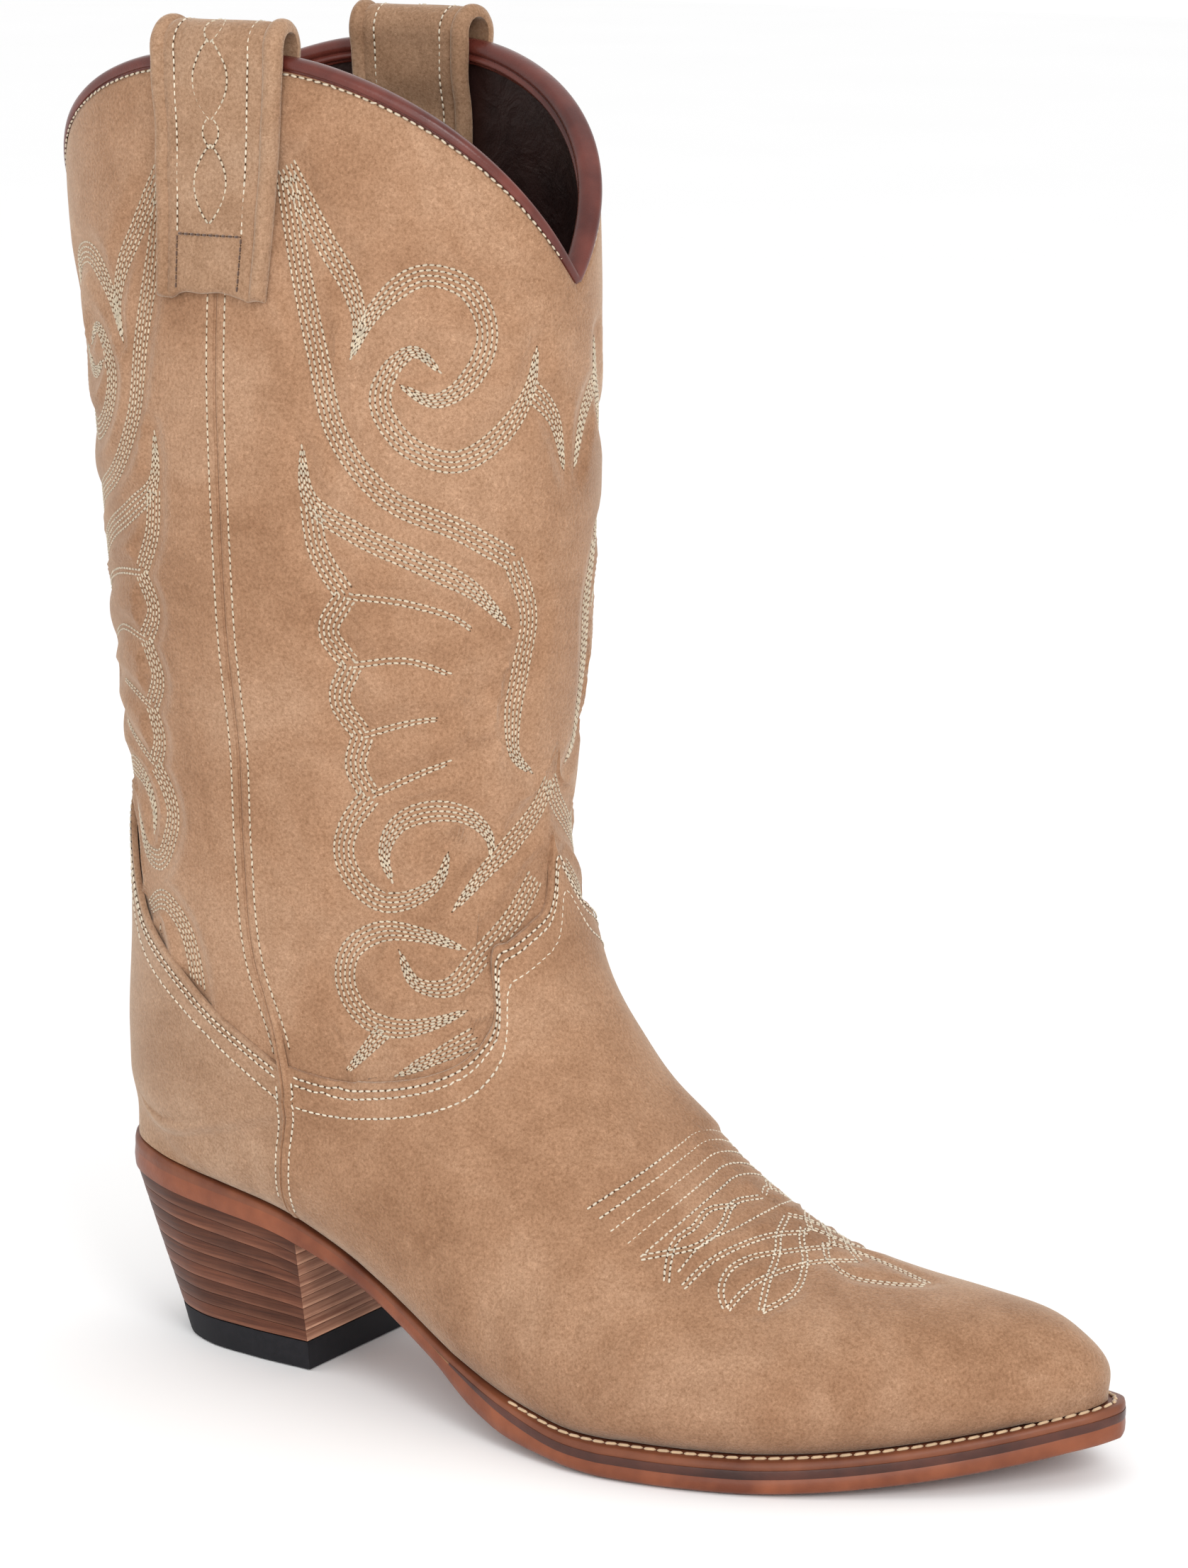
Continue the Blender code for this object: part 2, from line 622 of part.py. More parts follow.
# ---------------------------------------------------------------- the bottom
def ribs(curve, count, breast=None):
    """Matching points along the two sides of an outline, closer together at its ends."""
    part_way = np.linspace(0, 1, count + 1)
    if breast is None:
        part_way = part_way - 0.6 * np.sin(2 * np.pi * part_way) / (2 * np.pi)
    else:
        part_way = part_way**1.3
    matched = []
    for side in sides(curve):
        if breast is not None:
            last = np.argmax(side[:, 0] > breast)
            side = np.vstack([side[:last], [breast, np.interp(breast, side[:, 0], side[:, 1])]])
        length = np.r_[0, np.cumsum(np.linalg.norm(np.diff(side, axis=0), axis=1))]
        place = part_way * length[-1]
        matched.append(np.c_[np.interp(place, length, side[:, 0]), np.interp(place, length, side[:, 1])])
    return matched


def sheet_between(outer, inner, columns, height):
    share = np.linspace(0, 1, columns + 1)[None, :, None]
    flat = outer[:, None] * (1 - share) + inner[:, None] * share
    return np.concatenate([flat, height(flat[..., 0])[..., None]], axis=2)


def plate(name, low_curve, high_curve, low, high, finish, count=24, columns=4):
    """A flat piece with the sole's outline, between two heights that depend on x."""
    bottom = sheet_between(*ribs(low_curve, count), columns, low)
    top = sheet_between(*ribs(high_curve, count), columns, high)
    return loft(name, bottom, top, finish)


def ring_strip(name, indices, inner_amount, low, high, finish):
    """A strip that follows the sole's edge, from the outline inwards."""
    outer = SOLE[indices]
    along = np.roll(SOLE, -1, 0) - np.roll(SOLE, 1, 0)
    inward = np.c_[-along[:, 1], along[:, 0]] / np.linalg.norm(along, axis=1)[:, None]
    inner = outer + inward[indices] * (extension(outer[:, 0]) + inner_amount)[:, None]
    flat = np.stack([outer, inner], axis=1)
    sheets = [np.concatenate([flat, height(flat[..., 0])[..., None]], axis=2) for height in (low, high)]
    return loft(name, sheets[0], sheets[1], finish)


def make_welt_and_rand(leather):
    """The welt from the heel's breast round the toe, and the rand round the heel."""
    toe = SOLE[:, 0].argmax()
    forward = np.flatnonzero(SOLE[:, 0] > WELT_JOINT + JOINT_HALF_GAP)
    even = np.linspace(-1, 1, WELT_RIBS)
    spread = np.sign(even) * np.abs(even) ** 1.35
    half = np.where(spread < 0, toe - forward.min(), forward.max() - toe)
    welt_indices = np.unique(np.round(toe + spread * half).astype(int))
    ring_strip("welt", welt_indices, UPPER_THICKNESS, welt_bottom, welt_top, leather)
    behind = np.flatnonzero(SOLE[:, 0] < WELT_JOINT - JOINT_HALF_GAP)
    start = -(len(SOLE) - behind[behind > len(SOLE) // 2].min())
    end = behind[behind < len(SOLE) // 2].max()
    rand_indices = np.round(np.linspace(start, end, RAND_RIBS)).astype(int)
    ring_strip("heel_rand", rand_indices, UPPER_THICKNESS, welt_bottom, welt_top, leather)


def heel_sheet(level, height, count=12, columns=3):
    """The heel's D-shaped section: level 0 is the seat and 1 the top piece's upper face."""
    outer, inner = ribs(SOLE, count, HEEL_BREAST)
    shaped = []
    for side in (outer, inner):
        x = HEEL_BREAST - (HEEL_BREAST - side[:, 0] - HEEL_SETBACK) * (1 - HEEL_TAPER_X * level)
        x = np.minimum(x, HEEL_BREAST)
        shaped.append(np.c_[x, side[:, 1] * (HEEL_WIDTH - HEEL_TAPER_Y * level)])
    return sheet_between(shaped[0], shaped[1], columns, height)


def make_heel(leather, rubber):
    """Nine leather lifts that fan out from the sloping seat to the level top piece, and the top piece."""
    base = HEEL_BASE + GAP

    def level_height(level):
        return lambda x: (ground(x) - GAP) * (1 - level) + base * level

    lifts = []
    for number in range(HEEL_LIFTS):
        top = number / HEEL_LIFTS
        bottom = (number + 1) / HEEL_LIFTS
        low = heel_sheet(bottom, level_height(bottom))
        high = heel_sheet(top, level_height(top))
        if number:
            high[..., 2] -= GAP
        lifts.append(loft(f"heel_lift_{number + 1}", low, high, leather))
    underside = heel_sheet(TOP_PIECE_LEVEL, np.zeros_like)
    upper_face = heel_sheet(1.0, lambda x: np.full_like(x, HEEL_BASE))
    loft("heel_top_piece", underside, upper_face, rubber)
    return lifts


def shank_sheet(widen, height):
    x = np.linspace(SHANK_FROM - widen, SHANK_TO + widen, 15)
    end = np.minimum(x - x[0], x[-1] - x)
    half = (SHANK_HALF_WIDTH + widen) * np.sqrt(np.clip(end / 7, 0.2, 1))
    return sheet_between(np.c_[x, -half], np.c_[x, half], 1, height)


def rod(name, x, y, low, high, radius, finish, collection):
    shape = bmesh.new()
    bmesh.ops.create_cone(
        shape, cap_ends=True, segments=10, radius1=radius * MM, radius2=radius * MM, depth=(high - low) * MM
    )
    mesh = bpy.data.meshes.new(name)
    shape.to_mesh(mesh)
    shape.free()
    made = add_object(name, mesh, finish, collection)
    made.location = (x * MM, y * MM, (low + high) / 2 * MM)
    return made


def make_bottom(finishes):
    def insole_top(x):
        return insole_bottom(x) + INSOLE_THICKNESS

    inside = inset(INSOLE_INSET)
    tighter = inset(SOCK_INSET)
    tightest = inset(SOCK_TOP_INSET)
    outsole = plate("outsole", SOLE, SOLE, ground, outsole_top, finishes["sole_leather"], count=36, columns=5)
    cork = plate(
        "cork_filler", inside, inside, welt_bottom, lambda x: insole_bottom(x) - GAP, finishes["cork"]
    )
    insole = plate("insole", inside, tighter, insole_bottom, insole_top, finishes["insole_leather"])
    plate(
        "sock_liner", tighter, tightest, lambda x: insole_top(x) + GAP,
        lambda x: insole_top(x) + GAP + SOCK_THICKNESS, finishes["lining"],
    )
    shank_low = shank_sheet(0, lambda x: welt_bottom(x) + SHANK_LIFT)
    shank_high = shank_sheet(0, lambda x: welt_bottom(x) + SHANK_LIFT + SHANK_THICKNESS)
    loft("shank", shank_low, shank_high, finishes["steel"])
    slot_low = shank_sheet(SLOT_CLEARANCE, lambda x: welt_bottom(x) - 3)
    slot_high = shank_sheet(SLOT_CLEARANCE, insole_top)
    slot = loft("shank_slot", slot_low, slot_high, None, CUTTERS)
    cut(cork, slot)
    lifts = make_heel(finishes["heel_leather"], finishes["rubber"])
    for number, (x, y) in enumerate(NAIL_PLACES):
        top = float(insole_top(x)) - NAIL_SUNK
        tip = top - NAIL_LENGTH
        hole_end = tip - (NAIL_HOLE_RADIUS - NAIL_RADIUS)
        rod(f"heel_nail_{number + 1}", x, y, tip, top, NAIL_RADIUS, finishes["steel"], BOOT)
        hole = rod(f"nail_hole_{number + 1}", x, y, hole_end, top + 3, NAIL_HOLE_RADIUS, None, CUTTERS)
        for piece in (insole, cork, outsole, *lifts[:NAILED_LIFTS]):
            cut(piece, hole)


# ---------------------------------------------------------------- the whole boot
def stand_on_origin():
    """Hangs every object from an empty that puts the bounding box's base centre at the origin."""
    root = bpy.data.objects.new("boot_origin", None)
    BOOT.objects.link(root)
    bpy.context.view_layer.update()
    low = np.full(3, np.inf)
    high = np.full(3, -np.inf)
    for piece in BOOT.objects:
        if piece.type == "MESH":
            corners = np.array([piece.matrix_world @ vertex.co for vertex in piece.data.vertices])
            low = np.minimum(low, corners.min(axis=0))
            high = np.maximum(high, corners.max(axis=0))
    root.location = (-(low[0] + high[0]) / 2, -(low[1] + high[1]) / 2, -low[2])
    for piece in (*BOOT.objects, *CUTTERS.objects):
        if piece is not root:
            piece.parent = root


def main():
    bpy.context.scene.collection.children.link(BOOT)
    bpy.context.scene.collection.children.link(CUTTERS)
    CUTTERS.hide_render = True
    suede = material("tan_suede", (0.52, 0.33, 0.18), 0.95)
    lining = material("brown_lining", (0.045, 0.022, 0.018), 0.45)
    glossy = material("brown_binding", (0.14, 0.04, 0.022), 0.3)
    board = material("fibre_board", (0.35, 0.25, 0.16), 0.85)
    finishes = {
        "sole_leather": material("sole_leather", (0.24, 0.085, 0.04), 0.4),
        "heel_leather": material("stacked_leather", (0.26, 0.12, 0.06), 0.45),
        "insole_leather": material("insole_leather", (0.5, 0.36, 0.22), 0.8),
        "cork": material("cork", (0.42, 0.27, 0.14), 0.9),
        "rubber": material("black_rubber", (0.02, 0.02, 0.02), 0.8),
        "steel": material("steel", (0.5, 0.5, 0.52), 0.35, 1.0),
        "lining": lining,
    }
    make_shaft(suede, lining)
    make_vamp(suede, lining, board)
    make_counter(suede, lining, board)
    make_piping(suede)
    make_binding(glossy)
    make_strap("pull_strap_outer", False, suede)
    make_strap("pull_strap_inner", True, suede)
    make_welt_and_rand(finishes["sole_leather"])
    make_bottom(finishes)
    for cutter in CUTTERS.objects:
        cutter.hide_render = True
        cutter.display_type = "WIRE"
    stand_on_origin()


main()
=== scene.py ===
"""Looks of the cowboy boot: suede panels with their quilting and threads, binding, lining, straps, sole
and heel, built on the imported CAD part. The surface of the upper is the part's own, repeated here.
Lengths are millimetres in the boot's design axes until to_row() turns them into the row's metres.
"""

import json
import math

import bpy
import numpy as np
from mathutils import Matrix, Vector
from mathutils.kdtree import KDTree

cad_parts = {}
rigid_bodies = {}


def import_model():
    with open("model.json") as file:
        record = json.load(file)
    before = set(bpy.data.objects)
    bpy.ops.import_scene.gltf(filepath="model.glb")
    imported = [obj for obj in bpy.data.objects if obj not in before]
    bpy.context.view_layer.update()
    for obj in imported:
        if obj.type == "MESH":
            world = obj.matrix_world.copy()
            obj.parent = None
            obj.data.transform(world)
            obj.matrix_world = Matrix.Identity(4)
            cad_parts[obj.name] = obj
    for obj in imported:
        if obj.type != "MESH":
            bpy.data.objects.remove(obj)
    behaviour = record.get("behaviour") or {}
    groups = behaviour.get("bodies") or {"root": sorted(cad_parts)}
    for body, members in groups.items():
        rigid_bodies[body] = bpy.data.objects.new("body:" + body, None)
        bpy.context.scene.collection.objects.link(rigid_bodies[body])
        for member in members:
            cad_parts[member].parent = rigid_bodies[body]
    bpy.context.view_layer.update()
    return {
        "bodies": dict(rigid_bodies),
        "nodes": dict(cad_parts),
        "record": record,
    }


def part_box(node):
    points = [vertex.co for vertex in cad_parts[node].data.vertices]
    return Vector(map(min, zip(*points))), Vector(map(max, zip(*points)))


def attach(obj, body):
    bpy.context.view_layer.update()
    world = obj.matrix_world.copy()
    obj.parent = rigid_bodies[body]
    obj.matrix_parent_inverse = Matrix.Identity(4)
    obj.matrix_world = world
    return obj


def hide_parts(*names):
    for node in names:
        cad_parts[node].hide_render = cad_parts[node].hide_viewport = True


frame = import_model()
CHANCE = np.random.default_rng(7)

GAP = 0.3  # clearance between pieces that touch on the real boot

# Layers of the upper, as distances outside the shaft leather's outer face.
LINING = (-3.1, -1.8)
MIDDLE = (-1.5, 0.0)  # shaft leather
COVER = (0.5, 2.0)  # vamp and counter, lapped over the shaft
LAP = 8.0  # of the leg's panels, under the vamp and the counter

# Sole, from the ground up: height of the outsole's underside along the boot.
GROUND_X = (-2, 30, 64, 80, 100, 120, 140, 158, 170, 205, 230, 255, 280)
GROUND_Z = (44.5, 41, 36, 30.5, 21.5, 12.5, 5.2, 1, 0, 0, 1.8, 5.8, 11.5)
THICKNESS_X = (0, 40, 66, 90, 120, 150, 175, 282)
OUTSOLE_THICKNESS = (4.5, 4.5, 4.2, 3.6, 3.8, 4.6, 5, 5)
WELT_THICKNESS = (3.2, 2.0, 1.0, 0.8, 1.2, 2.4, 3, 3)
EXTENSION_X = (0, 30, 66, 90, 120, 150, 175, 282)
EXTENSION = (1.0, 1.4, 1.5, 1.2, 1.6, 3.6, 4.6, 4.6)  # how far the welt stands out past the vamp
UPPER_THICKNESS = COVER[1] - LINING[0]
FEATHER_GAP = 1.8 * GAP  # between the welt and the upper's lower edge

# Sole outline, outer side from the heel to the toe, then the inner side back to the heel.
OUTLINE = (
    (-1.5, 0), (0, -9.5), (6, -18.5), (18, -25.5), (40, -29.5), (66, -31), (90, -33), (115, -40),
    (140, -48), (162, -52.5), (185, -50.5), (210, -42.5), (235, -28), (255, -13), (268, -1),
    (275.5, 7.5), (277.5, 13), (275.5, 19.5), (267, 28), (250, 35.5), (225, 41), (200, 42.5),
    (175, 39), (145, 32), (115, 26.5), (90, 25.5), (66, 28), (40, 29), (18, 25.5), (6, 18.5), (0, 9.5),
)
OUTLINE_STEPS = 1200

# Heel.
HEEL_BREAST = 65.5
HEEL_BASE = 7.5
HEEL_LIFTS = 9
HEEL_TAPER_X = 0.20
HEEL_TAPER_Y = 0.16
HEEL_SETBACK = 0.4  # heel's back edge, in front of the sole's
HEEL_WIDTH = 0.985  # of the sole's width, at the seat
TOP_PIECE_LEVEL = 1.18  # how far down the heel's taper the top piece's underside is
WELT_JOINT = 62.0  # x at which the welt ends and the rand begins

# Pull straps: centre of the ribbon as (distance outside the shaft, height), outer end to inner end.
STRAP_X = 57.8
STRAP_LEG_OUT = ((2.7, 277), (2.7, 299), (2.7, 318), (3.1, 326), (3.2, 333))
STRAP_LEG_IN = ((-6.4, 333), (-6.4, 326), (-5.0, 318), (-5.0, 298))
STRAP_CROWN = (-1.6, 337.6, 4.8)  # centre of the bend and its radius
STRAP_THICKNESS = 2.4
STRAP_HALF_WIDTH = (15.6, 18.8)  # at its lower end and at its crown
STRAP_FLARE = (277.0, 337.0)  # heights between which it widens

# The upper's surface, as sections from the leg (first) to the toe (last). Each row holds the section's
# back or bottom end (x, z), its front end (x, z), the front end's y, and for the outer and the inner
# side three numbers that shape a Bezier half-section: y, share of the depth, y. From station SEAT on the
# back end follows the sole's edge, so its z is worked out and stays None here.
ROUND = 4 / 3
SEAT = 8


def oval(half_width):
    return (ROUND * half_width, -1.0, ROUND * half_width)


STATIONS = (
    (-13, 350, 128, 350, 0, *oval(43), *oval(43)),
    (-14, 300, 131, 300, 0, *oval(45), *oval(45)),
    (-6, 250, 130, 250, 0, *oval(50), *oval(50)),
    (-1, 200, 128, 200, 0, *oval(50), *oval(50)),
    (1, 165, 124.5, 165, 0, *oval(44.5), *oval(44.5)),
    (4, 138, 123, 143, 0, *oval(43), *oval(43)),
    (3.5, 110, 125.5, 127, 1, *oval(42), *oval(42)),
    (0, 80, 130, 112, 2, 49, -1, 57, 48, -1, 54),
    (1.3, None, 136, 99.5, 3, 44, -1, 58, 42, -1, 52),
    (8, None, 142.5, 89.5, 4, 34, -0.8, 60, 32, -0.8, 50),
    (24, None, 151, 80, 5, 34, -0.7, 62, 31, -0.7, 47),
    (46, None, 162, 70, 6, 38, -0.6, 62, 33, -0.6, 44),
    (76, None, 174, 59.8, 7, 44, -0.5, 58, 35, -0.5, 40),
    (110, None, 188.5, 51, 8, 54, -0.4, 50, 38, -0.4, 36),
    (145, None, 204, 44.3, 8, 60, -0.3, 42, 44, -0.3, 34),
    (178, None, 220, 41, 8, 58, -0.2, 32, 46, -0.2, 32),
    (210, None, 238, 39.3, 9, 43, -0.1, 18, 43, -0.1, 28),
    (234, None, 254, 37, 10, 26, 0, 4, 37, 0, 26),
    (248, None, 264, 33, 11, 12, 0, -2, 31, 0, 22),
    (255, None, 270.5, 27, 12, 4, 0, -4, 27, 0, 20),
    (258, None, None, None, None, 0, 0, -8, 24, 0, 18),
)
LAST = len(STATIONS) - 1
LEG_TOP = 350.0
LEG_STEP = 50.0

# Seams and edges. A place on the front panels is (share of the way from the outer side seam over the
# front to the inner one, station); on the back panels the share runs from 0 at the back to 1 at a seam.
SEAM_X = (
    (0, 58), (1.4, 58.7), (2.7, 61.5), (5, 61), (6.3, 62.6), (7.5, 69.5), (9, 69), (11.5, 66.3), (11.7, 66.1),
)
SEAM_END = 11.7
JUNCTION = 7.55
RIM_FRONT = ((0, 0.30), (0.1, 0.33), (0.19, 0.44), (0.28, 0.62), (0.36, 0.84), (0.43, 1.08), (0.5, 1.36))
RIM_BACK = ((0, 1.26), (0.15, 1.03), (0.35, 0.70), (0.53, 0.50), (0.75, 0.35), (1, 0.30))
VAMP_EDGE = (
    (0, JUNCTION), (0.06, 7.85), (0.11, 8.1), (0.16, 8.3), (0.21, 8.35), (0.255, 8.2), (0.29, 7.87),
    (0.315, 7.5), (0.327, 7.1), (0.34, 6.65), (0.375, 6.45), (0.42, 6.25), (0.465, 5.95), (0.485, 5.55),
    (0.5, 5.0),
)
COUNTER_EDGE = ((0, 4.6), (0.2, 4.8), (0.5, 5.85), (0.73, 6.47), (0.86, 6.98), (1, JUNCTION))


# ---------------------------------------------------------------- curves and the sole's profile
def smooth(knots, values, at):
    """A smooth curve through the values at the knots (cubic, with tangents from the neighbours)."""
    knots = np.asarray(knots, float)
    values = np.asarray(values, float)
    at = np.asarray(at, float)
    step = np.diff(knots)
    slope = (np.diff(values, axis=0).T / step).T
    share = step[1:] / (step[1:] + step[:-1])
    tangent = np.empty_like(values)
    tangent[0] = slope[0]
    tangent[-1] = slope[-1]
    tangent[1:-1] = (slope[:-1].T * share + slope[1:].T * (1 - share)).T
    i = np.clip(np.searchsorted(knots, at, side="right") - 1, 0, len(knots) - 2)
    t = (at - knots[i]) / step[i]
    h = step[i]
    if values.ndim > 1:
        t = t[..., None]
        h = h[..., None]
    rise = 3 * t**2 - 2 * t**3
    start = (t**3 - 2 * t**2 + t) * h * tangent[i]
    end = (t**3 - t**2) * h * tangent[i + 1]
    return (1 - rise) * values[i] + rise * values[i + 1] + start + end


def through(points, at):
    """A smooth curve through (place, value) pairs."""
    table = np.array(points, float)
    return smooth(table[:, 0], table[:, 1], at)


def soft_step(value):
    """0 below 0, 1 above 1, and an eased rise between them."""
    share = np.clip(value, 0, 1)
    return share * share * (3 - 2 * share)


def run_length(points):
    """Distance along a line of points, from its first."""
    return np.r_[0, np.cumsum(np.linalg.norm(np.diff(points, axis=0), axis=1))]


def unit(vectors):
    return vectors / np.linalg.norm(vectors, axis=-1, keepdims=True)


def ground(x):
    """The outsole's underside, flat on the ground under the ball of the foot."""
    return np.maximum(smooth(GROUND_X, GROUND_Z, x), 0)


def slant(x):
    """Length along the sole per millimetre of x, which turns a thickness into a height."""
    rise = ground(np.asarray(x) + 0.5) - ground(np.asarray(x) - 0.5)
    return np.sqrt(1 + rise * rise)


def outsole_top(x):
    return ground(x) + np.interp(x, THICKNESS_X, OUTSOLE_THICKNESS) * slant(x)


def welt_top(x):
    return outsole_top(x) + (GAP + np.interp(x, THICKNESS_X, WELT_THICKNESS)) * slant(x)


def feather(x):
    """The height of the upper's lower edge."""
    return welt_top(x) + FEATHER_GAP * slant(x)


def extension(x):
    return np.interp(x, EXTENSION_X, EXTENSION)


def closed_outline():
    points = np.array(OUTLINE, float)
    points = np.vstack([points[-3:], points, points[:4]])
    length = run_length(points)
    at = np.linspace(length[3], length[-4], OUTLINE_STEPS, endpoint=False)
    return smooth(length, points, at)


SOLE = closed_outline()


def inset(amount):
    """The sole's outline moved inwards by extension + amount, without the loops of tight corners."""
    along = np.roll(SOLE, -1, 0) - np.roll(SOLE, 1, 0)
    inward = np.c_[-along[:, 1], along[:, 0]] / np.linalg.norm(along, axis=1)[:, None]
    distance = extension(SOLE[:, 0]) + amount
    moved = SOLE + inward * distance[:, None]
    nearest = np.linalg.norm(moved[:, None] - SOLE[None, ::4], axis=2).min(axis=1)
    return moved[nearest > distance - 0.25]


def sides(curve):
    """A closed outline split at its heel and toe ends into the outer and the inner side."""
    heel = curve[:, 0].argmin()
    toe = curve[:, 0].argmax()
    count = len(curve)
    outer = np.roll(curve, -heel, 0)[: (toe - heel) % count + 1]
    inner = np.roll(curve, -toe, 0)[: (heel - toe) % count + 1][::-1]
    return outer, inner


FEATHER_OUTER, FEATHER_INNER = sides(inset(COVER[1]))
HEEL_Y = FEATHER_OUTER[0, 1]
TOE_X, TOE_Y = FEATHER_OUTER[-1]


# ---------------------------------------------------------------- the upper's surface
def station_table():
    rows = [[np.nan if value is None else value for value in row] for row in STATIONS]
    table = np.array(rows, float)
    table[SEAT:, 1] = feather(table[SEAT:, 0])
    table[-1, 2:5] = (TOE_X, feather(TOE_X), TOE_Y)
    return table


STATION_TABLE = station_table()


def skin(u, v):
    """Points of the shaft leather's outer face: u is the station, v runs from the back or the outer
    sole edge (0) over the front (0.5) to the inner sole edge or the back (1)."""
    u, v = np.broadcast_arrays(np.asarray(u, float), np.asarray(v, float))
    row = smooth(np.arange(LAST + 1), STATION_TABLE, u)
    inner = v > 0.5
    sign = np.where(inner, 1.0, -1.0)
    t = np.where(inner, 2 - 2 * v, 2 * v)
    back_x, back_z, front_x, front_z, front_y = (row[..., i] for i in range(5))
    first_y, first_depth, second_y = (np.where(inner, row[..., 8 + i], row[..., 5 + i]) for i in range(3))
    foot = u >= SEAT
    back_x = np.where(foot, np.maximum(back_x, FEATHER_OUTER[0, 0]), back_x)
    edge_outer = -np.interp(back_x, FEATHER_OUTER[:, 0], FEATHER_OUTER[:, 1])
    edge_inner = np.interp(back_x, FEATHER_INNER[:, 0], FEATHER_INNER[:, 1])
    back_y = sign * HEEL_Y * np.clip((u - SEAT + 2) / 2, 0, 1)
    back_y = np.where(foot, np.where(inner, edge_inner, edge_outer), back_y)
    back_z = np.where(foot, feather(back_x), back_z)
    b0 = (1 - t) ** 3
    b1 = 3 * (1 - t) ** 2 * t
    b2 = 3 * (1 - t) * t**2
    b3 = t**3
    depth = (1 - b0 + first_depth * b1 + b2 + b3) / 2
    width = b0 * back_y + b1 * first_y + b2 * second_y + b3 * sign * front_y
    x = back_x + depth * (front_x - back_x)
    z = back_z + depth * (front_z - back_z)
    return np.stack([x, sign * width, z], -1)


LEVEL_HEIGHT = 9.0  # above the welt, up to which the surface's normals are turned level


def height_share(points):
    """0 at the welt, 1 from LEVEL_HEIGHT above it."""
    return soft_step((points[..., 2] - feather(points[..., 0])) / LEVEL_HEIGHT)


def outward(u, v):
    """The surface's normals, turned level close above the welt so that every layer stands on it."""
    step = 2e-3
    u, v = np.broadcast_arrays(np.asarray(u, float), np.asarray(v, float))
    along = skin(np.minimum(u + step, LAST), v) - skin(np.maximum(u - step, 0), v)
    ridge = np.abs(v - 0.5) < step
    low = np.where(ridge | (v < 0.5), 0, 0.5)
    high = np.where(ridge | (v > 0.5), 1, 0.5)
    round_ = skin(u, np.minimum(v + step, high)) - skin(u, np.maximum(v - step, low))
    normal = np.cross(along, round_)
    normal[..., 2] *= height_share(skin(u, v))
    return unit(normal)


def upper(u, v, offset):
    """Points a distance outside the shaft leather's face; the layers stand side by side on the welt."""
    u, v = np.broadcast_arrays(np.asarray(u, float), np.asarray(v, float))
    base = skin(u, v)
    moved = base + outward(u, v) * np.asarray(offset, float)[..., None]
    level = 1 - height_share(base)
    moved[..., 2] += level * (feather(moved[..., 0]) - feather(base[..., 0]))
    return moved


def place_at_x(u, x, inner):
    """The v at which the section u reaches x, on the outer or the inner side."""
    t = np.linspace(0, 1, 161)
    u, x = np.broadcast_arrays(np.asarray(u, float), np.asarray(x, float))
    found = np.empty(u.shape)
    for index in np.ndindex(u.shape):
        v = 1 - t / 2 if inner else t / 2
        section = skin(np.full(t.shape, u[index]), v)[:, 0]
        found[index] = np.interp(x[index], section, v) if x[index] > section[0] else v[0]
    return found


SEAM_U = np.linspace(0, SEAM_END, 118)
SEAM_OUTER = place_at_x(SEAM_U, through(SEAM_X, SEAM_U), False)
SEAM_INNER = place_at_x(SEAM_U, through(SEAM_X, SEAM_U), True)
SEAM_OUTER[-1] = 0
SEAM_INNER[-1] = 1


def seam(u, inner):
    return np.interp(u, SEAM_U, SEAM_INNER if inner else SEAM_OUTER)


def share_per_mm(u, v):
    """How much v changes over one millimetre round the section."""
    step = 2e-3
    side_step = np.where(np.asarray(v) > 0.5, -step, step)
    reach = np.linalg.norm(skin(u, v + side_step) - skin(u, v), axis=-1)
    return step / reach


def stations_per_mm(u, v):
    step = 5e-3
    return step / np.linalg.norm(skin(np.asarray(u) + step, v) - skin(u, v), axis=-1)


SEAM_CLEARANCE = 0.75  # from the seam line to the panel's edge, under the piping


def front_place(share, u):
    """v of a share of the way between the side seams, over the front, at the station u."""
    outer = seam(u, False)
    inner = seam(u, True)
    fade = np.clip((SEAM_END + 0.3 - u) / 0.3, 0, 1)
    outer = outer + SEAM_CLEARANCE * fade * share_per_mm(u, outer)
    inner = inner - SEAM_CLEARANCE * fade * share_per_mm(u, inner)
    return outer + (inner - outer) * share


def back_place(share, u):
    """v of a share from -1 (outer seam) over 0 (the back) to 1 (inner seam), at the station u."""
    outer = seam(u, False)
    inner = 1 - seam(u, True)
    outer = outer - SEAM_CLEARANCE * share_per_mm(u, outer)
    inner = inner - SEAM_CLEARANCE * share_per_mm(u, 1 - inner)
    return np.where(share < 0, -share * outer, 1 - share * inner)


def from_ends(share):
    """Distance of a front share to its nearer seam, from 0 to 0.5."""
    return np.minimum(share, 1 - share)


def lowered(edge, share, place, distance):
    """The stations a distance in millimetres below an edge."""
    return edge + distance * stations_per_mm(edge, place(share, edge))


# ---------------------------------------------------------------- from design axes to the row
SOLE_LOW, SOLE_HIGH = (np.array(corner) * 1000 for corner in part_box("outsole"))
SHIFT = np.array([SOLE_HIGH[0] - SOLE[:, 0].max(), SOLE_LOW[1] - SOLE[:, 1].min(), 0])


def to_row(points):
    return (np.asarray(points, float) + SHIFT) / 1000


def fast_mesh(name, points, quads):
    """A mesh from an array of points in millimetres and an array of four-cornered faces."""
    mesh = bpy.data.meshes.new(name)
    mesh.vertices.add(len(points))
    mesh.vertices.foreach_set("co", to_row(points).astype(np.float32).ravel())
    mesh.loops.add(quads.size)
    mesh.loops.foreach_set("vertex_index", quads.astype(np.int32).ravel())
    mesh.polygons.add(len(quads))
    mesh.polygons.foreach_set("loop_start", np.arange(0, quads.size, 4, dtype=np.int32))
    mesh.update(calc_edges=True)
    mesh.validate()
    return mesh


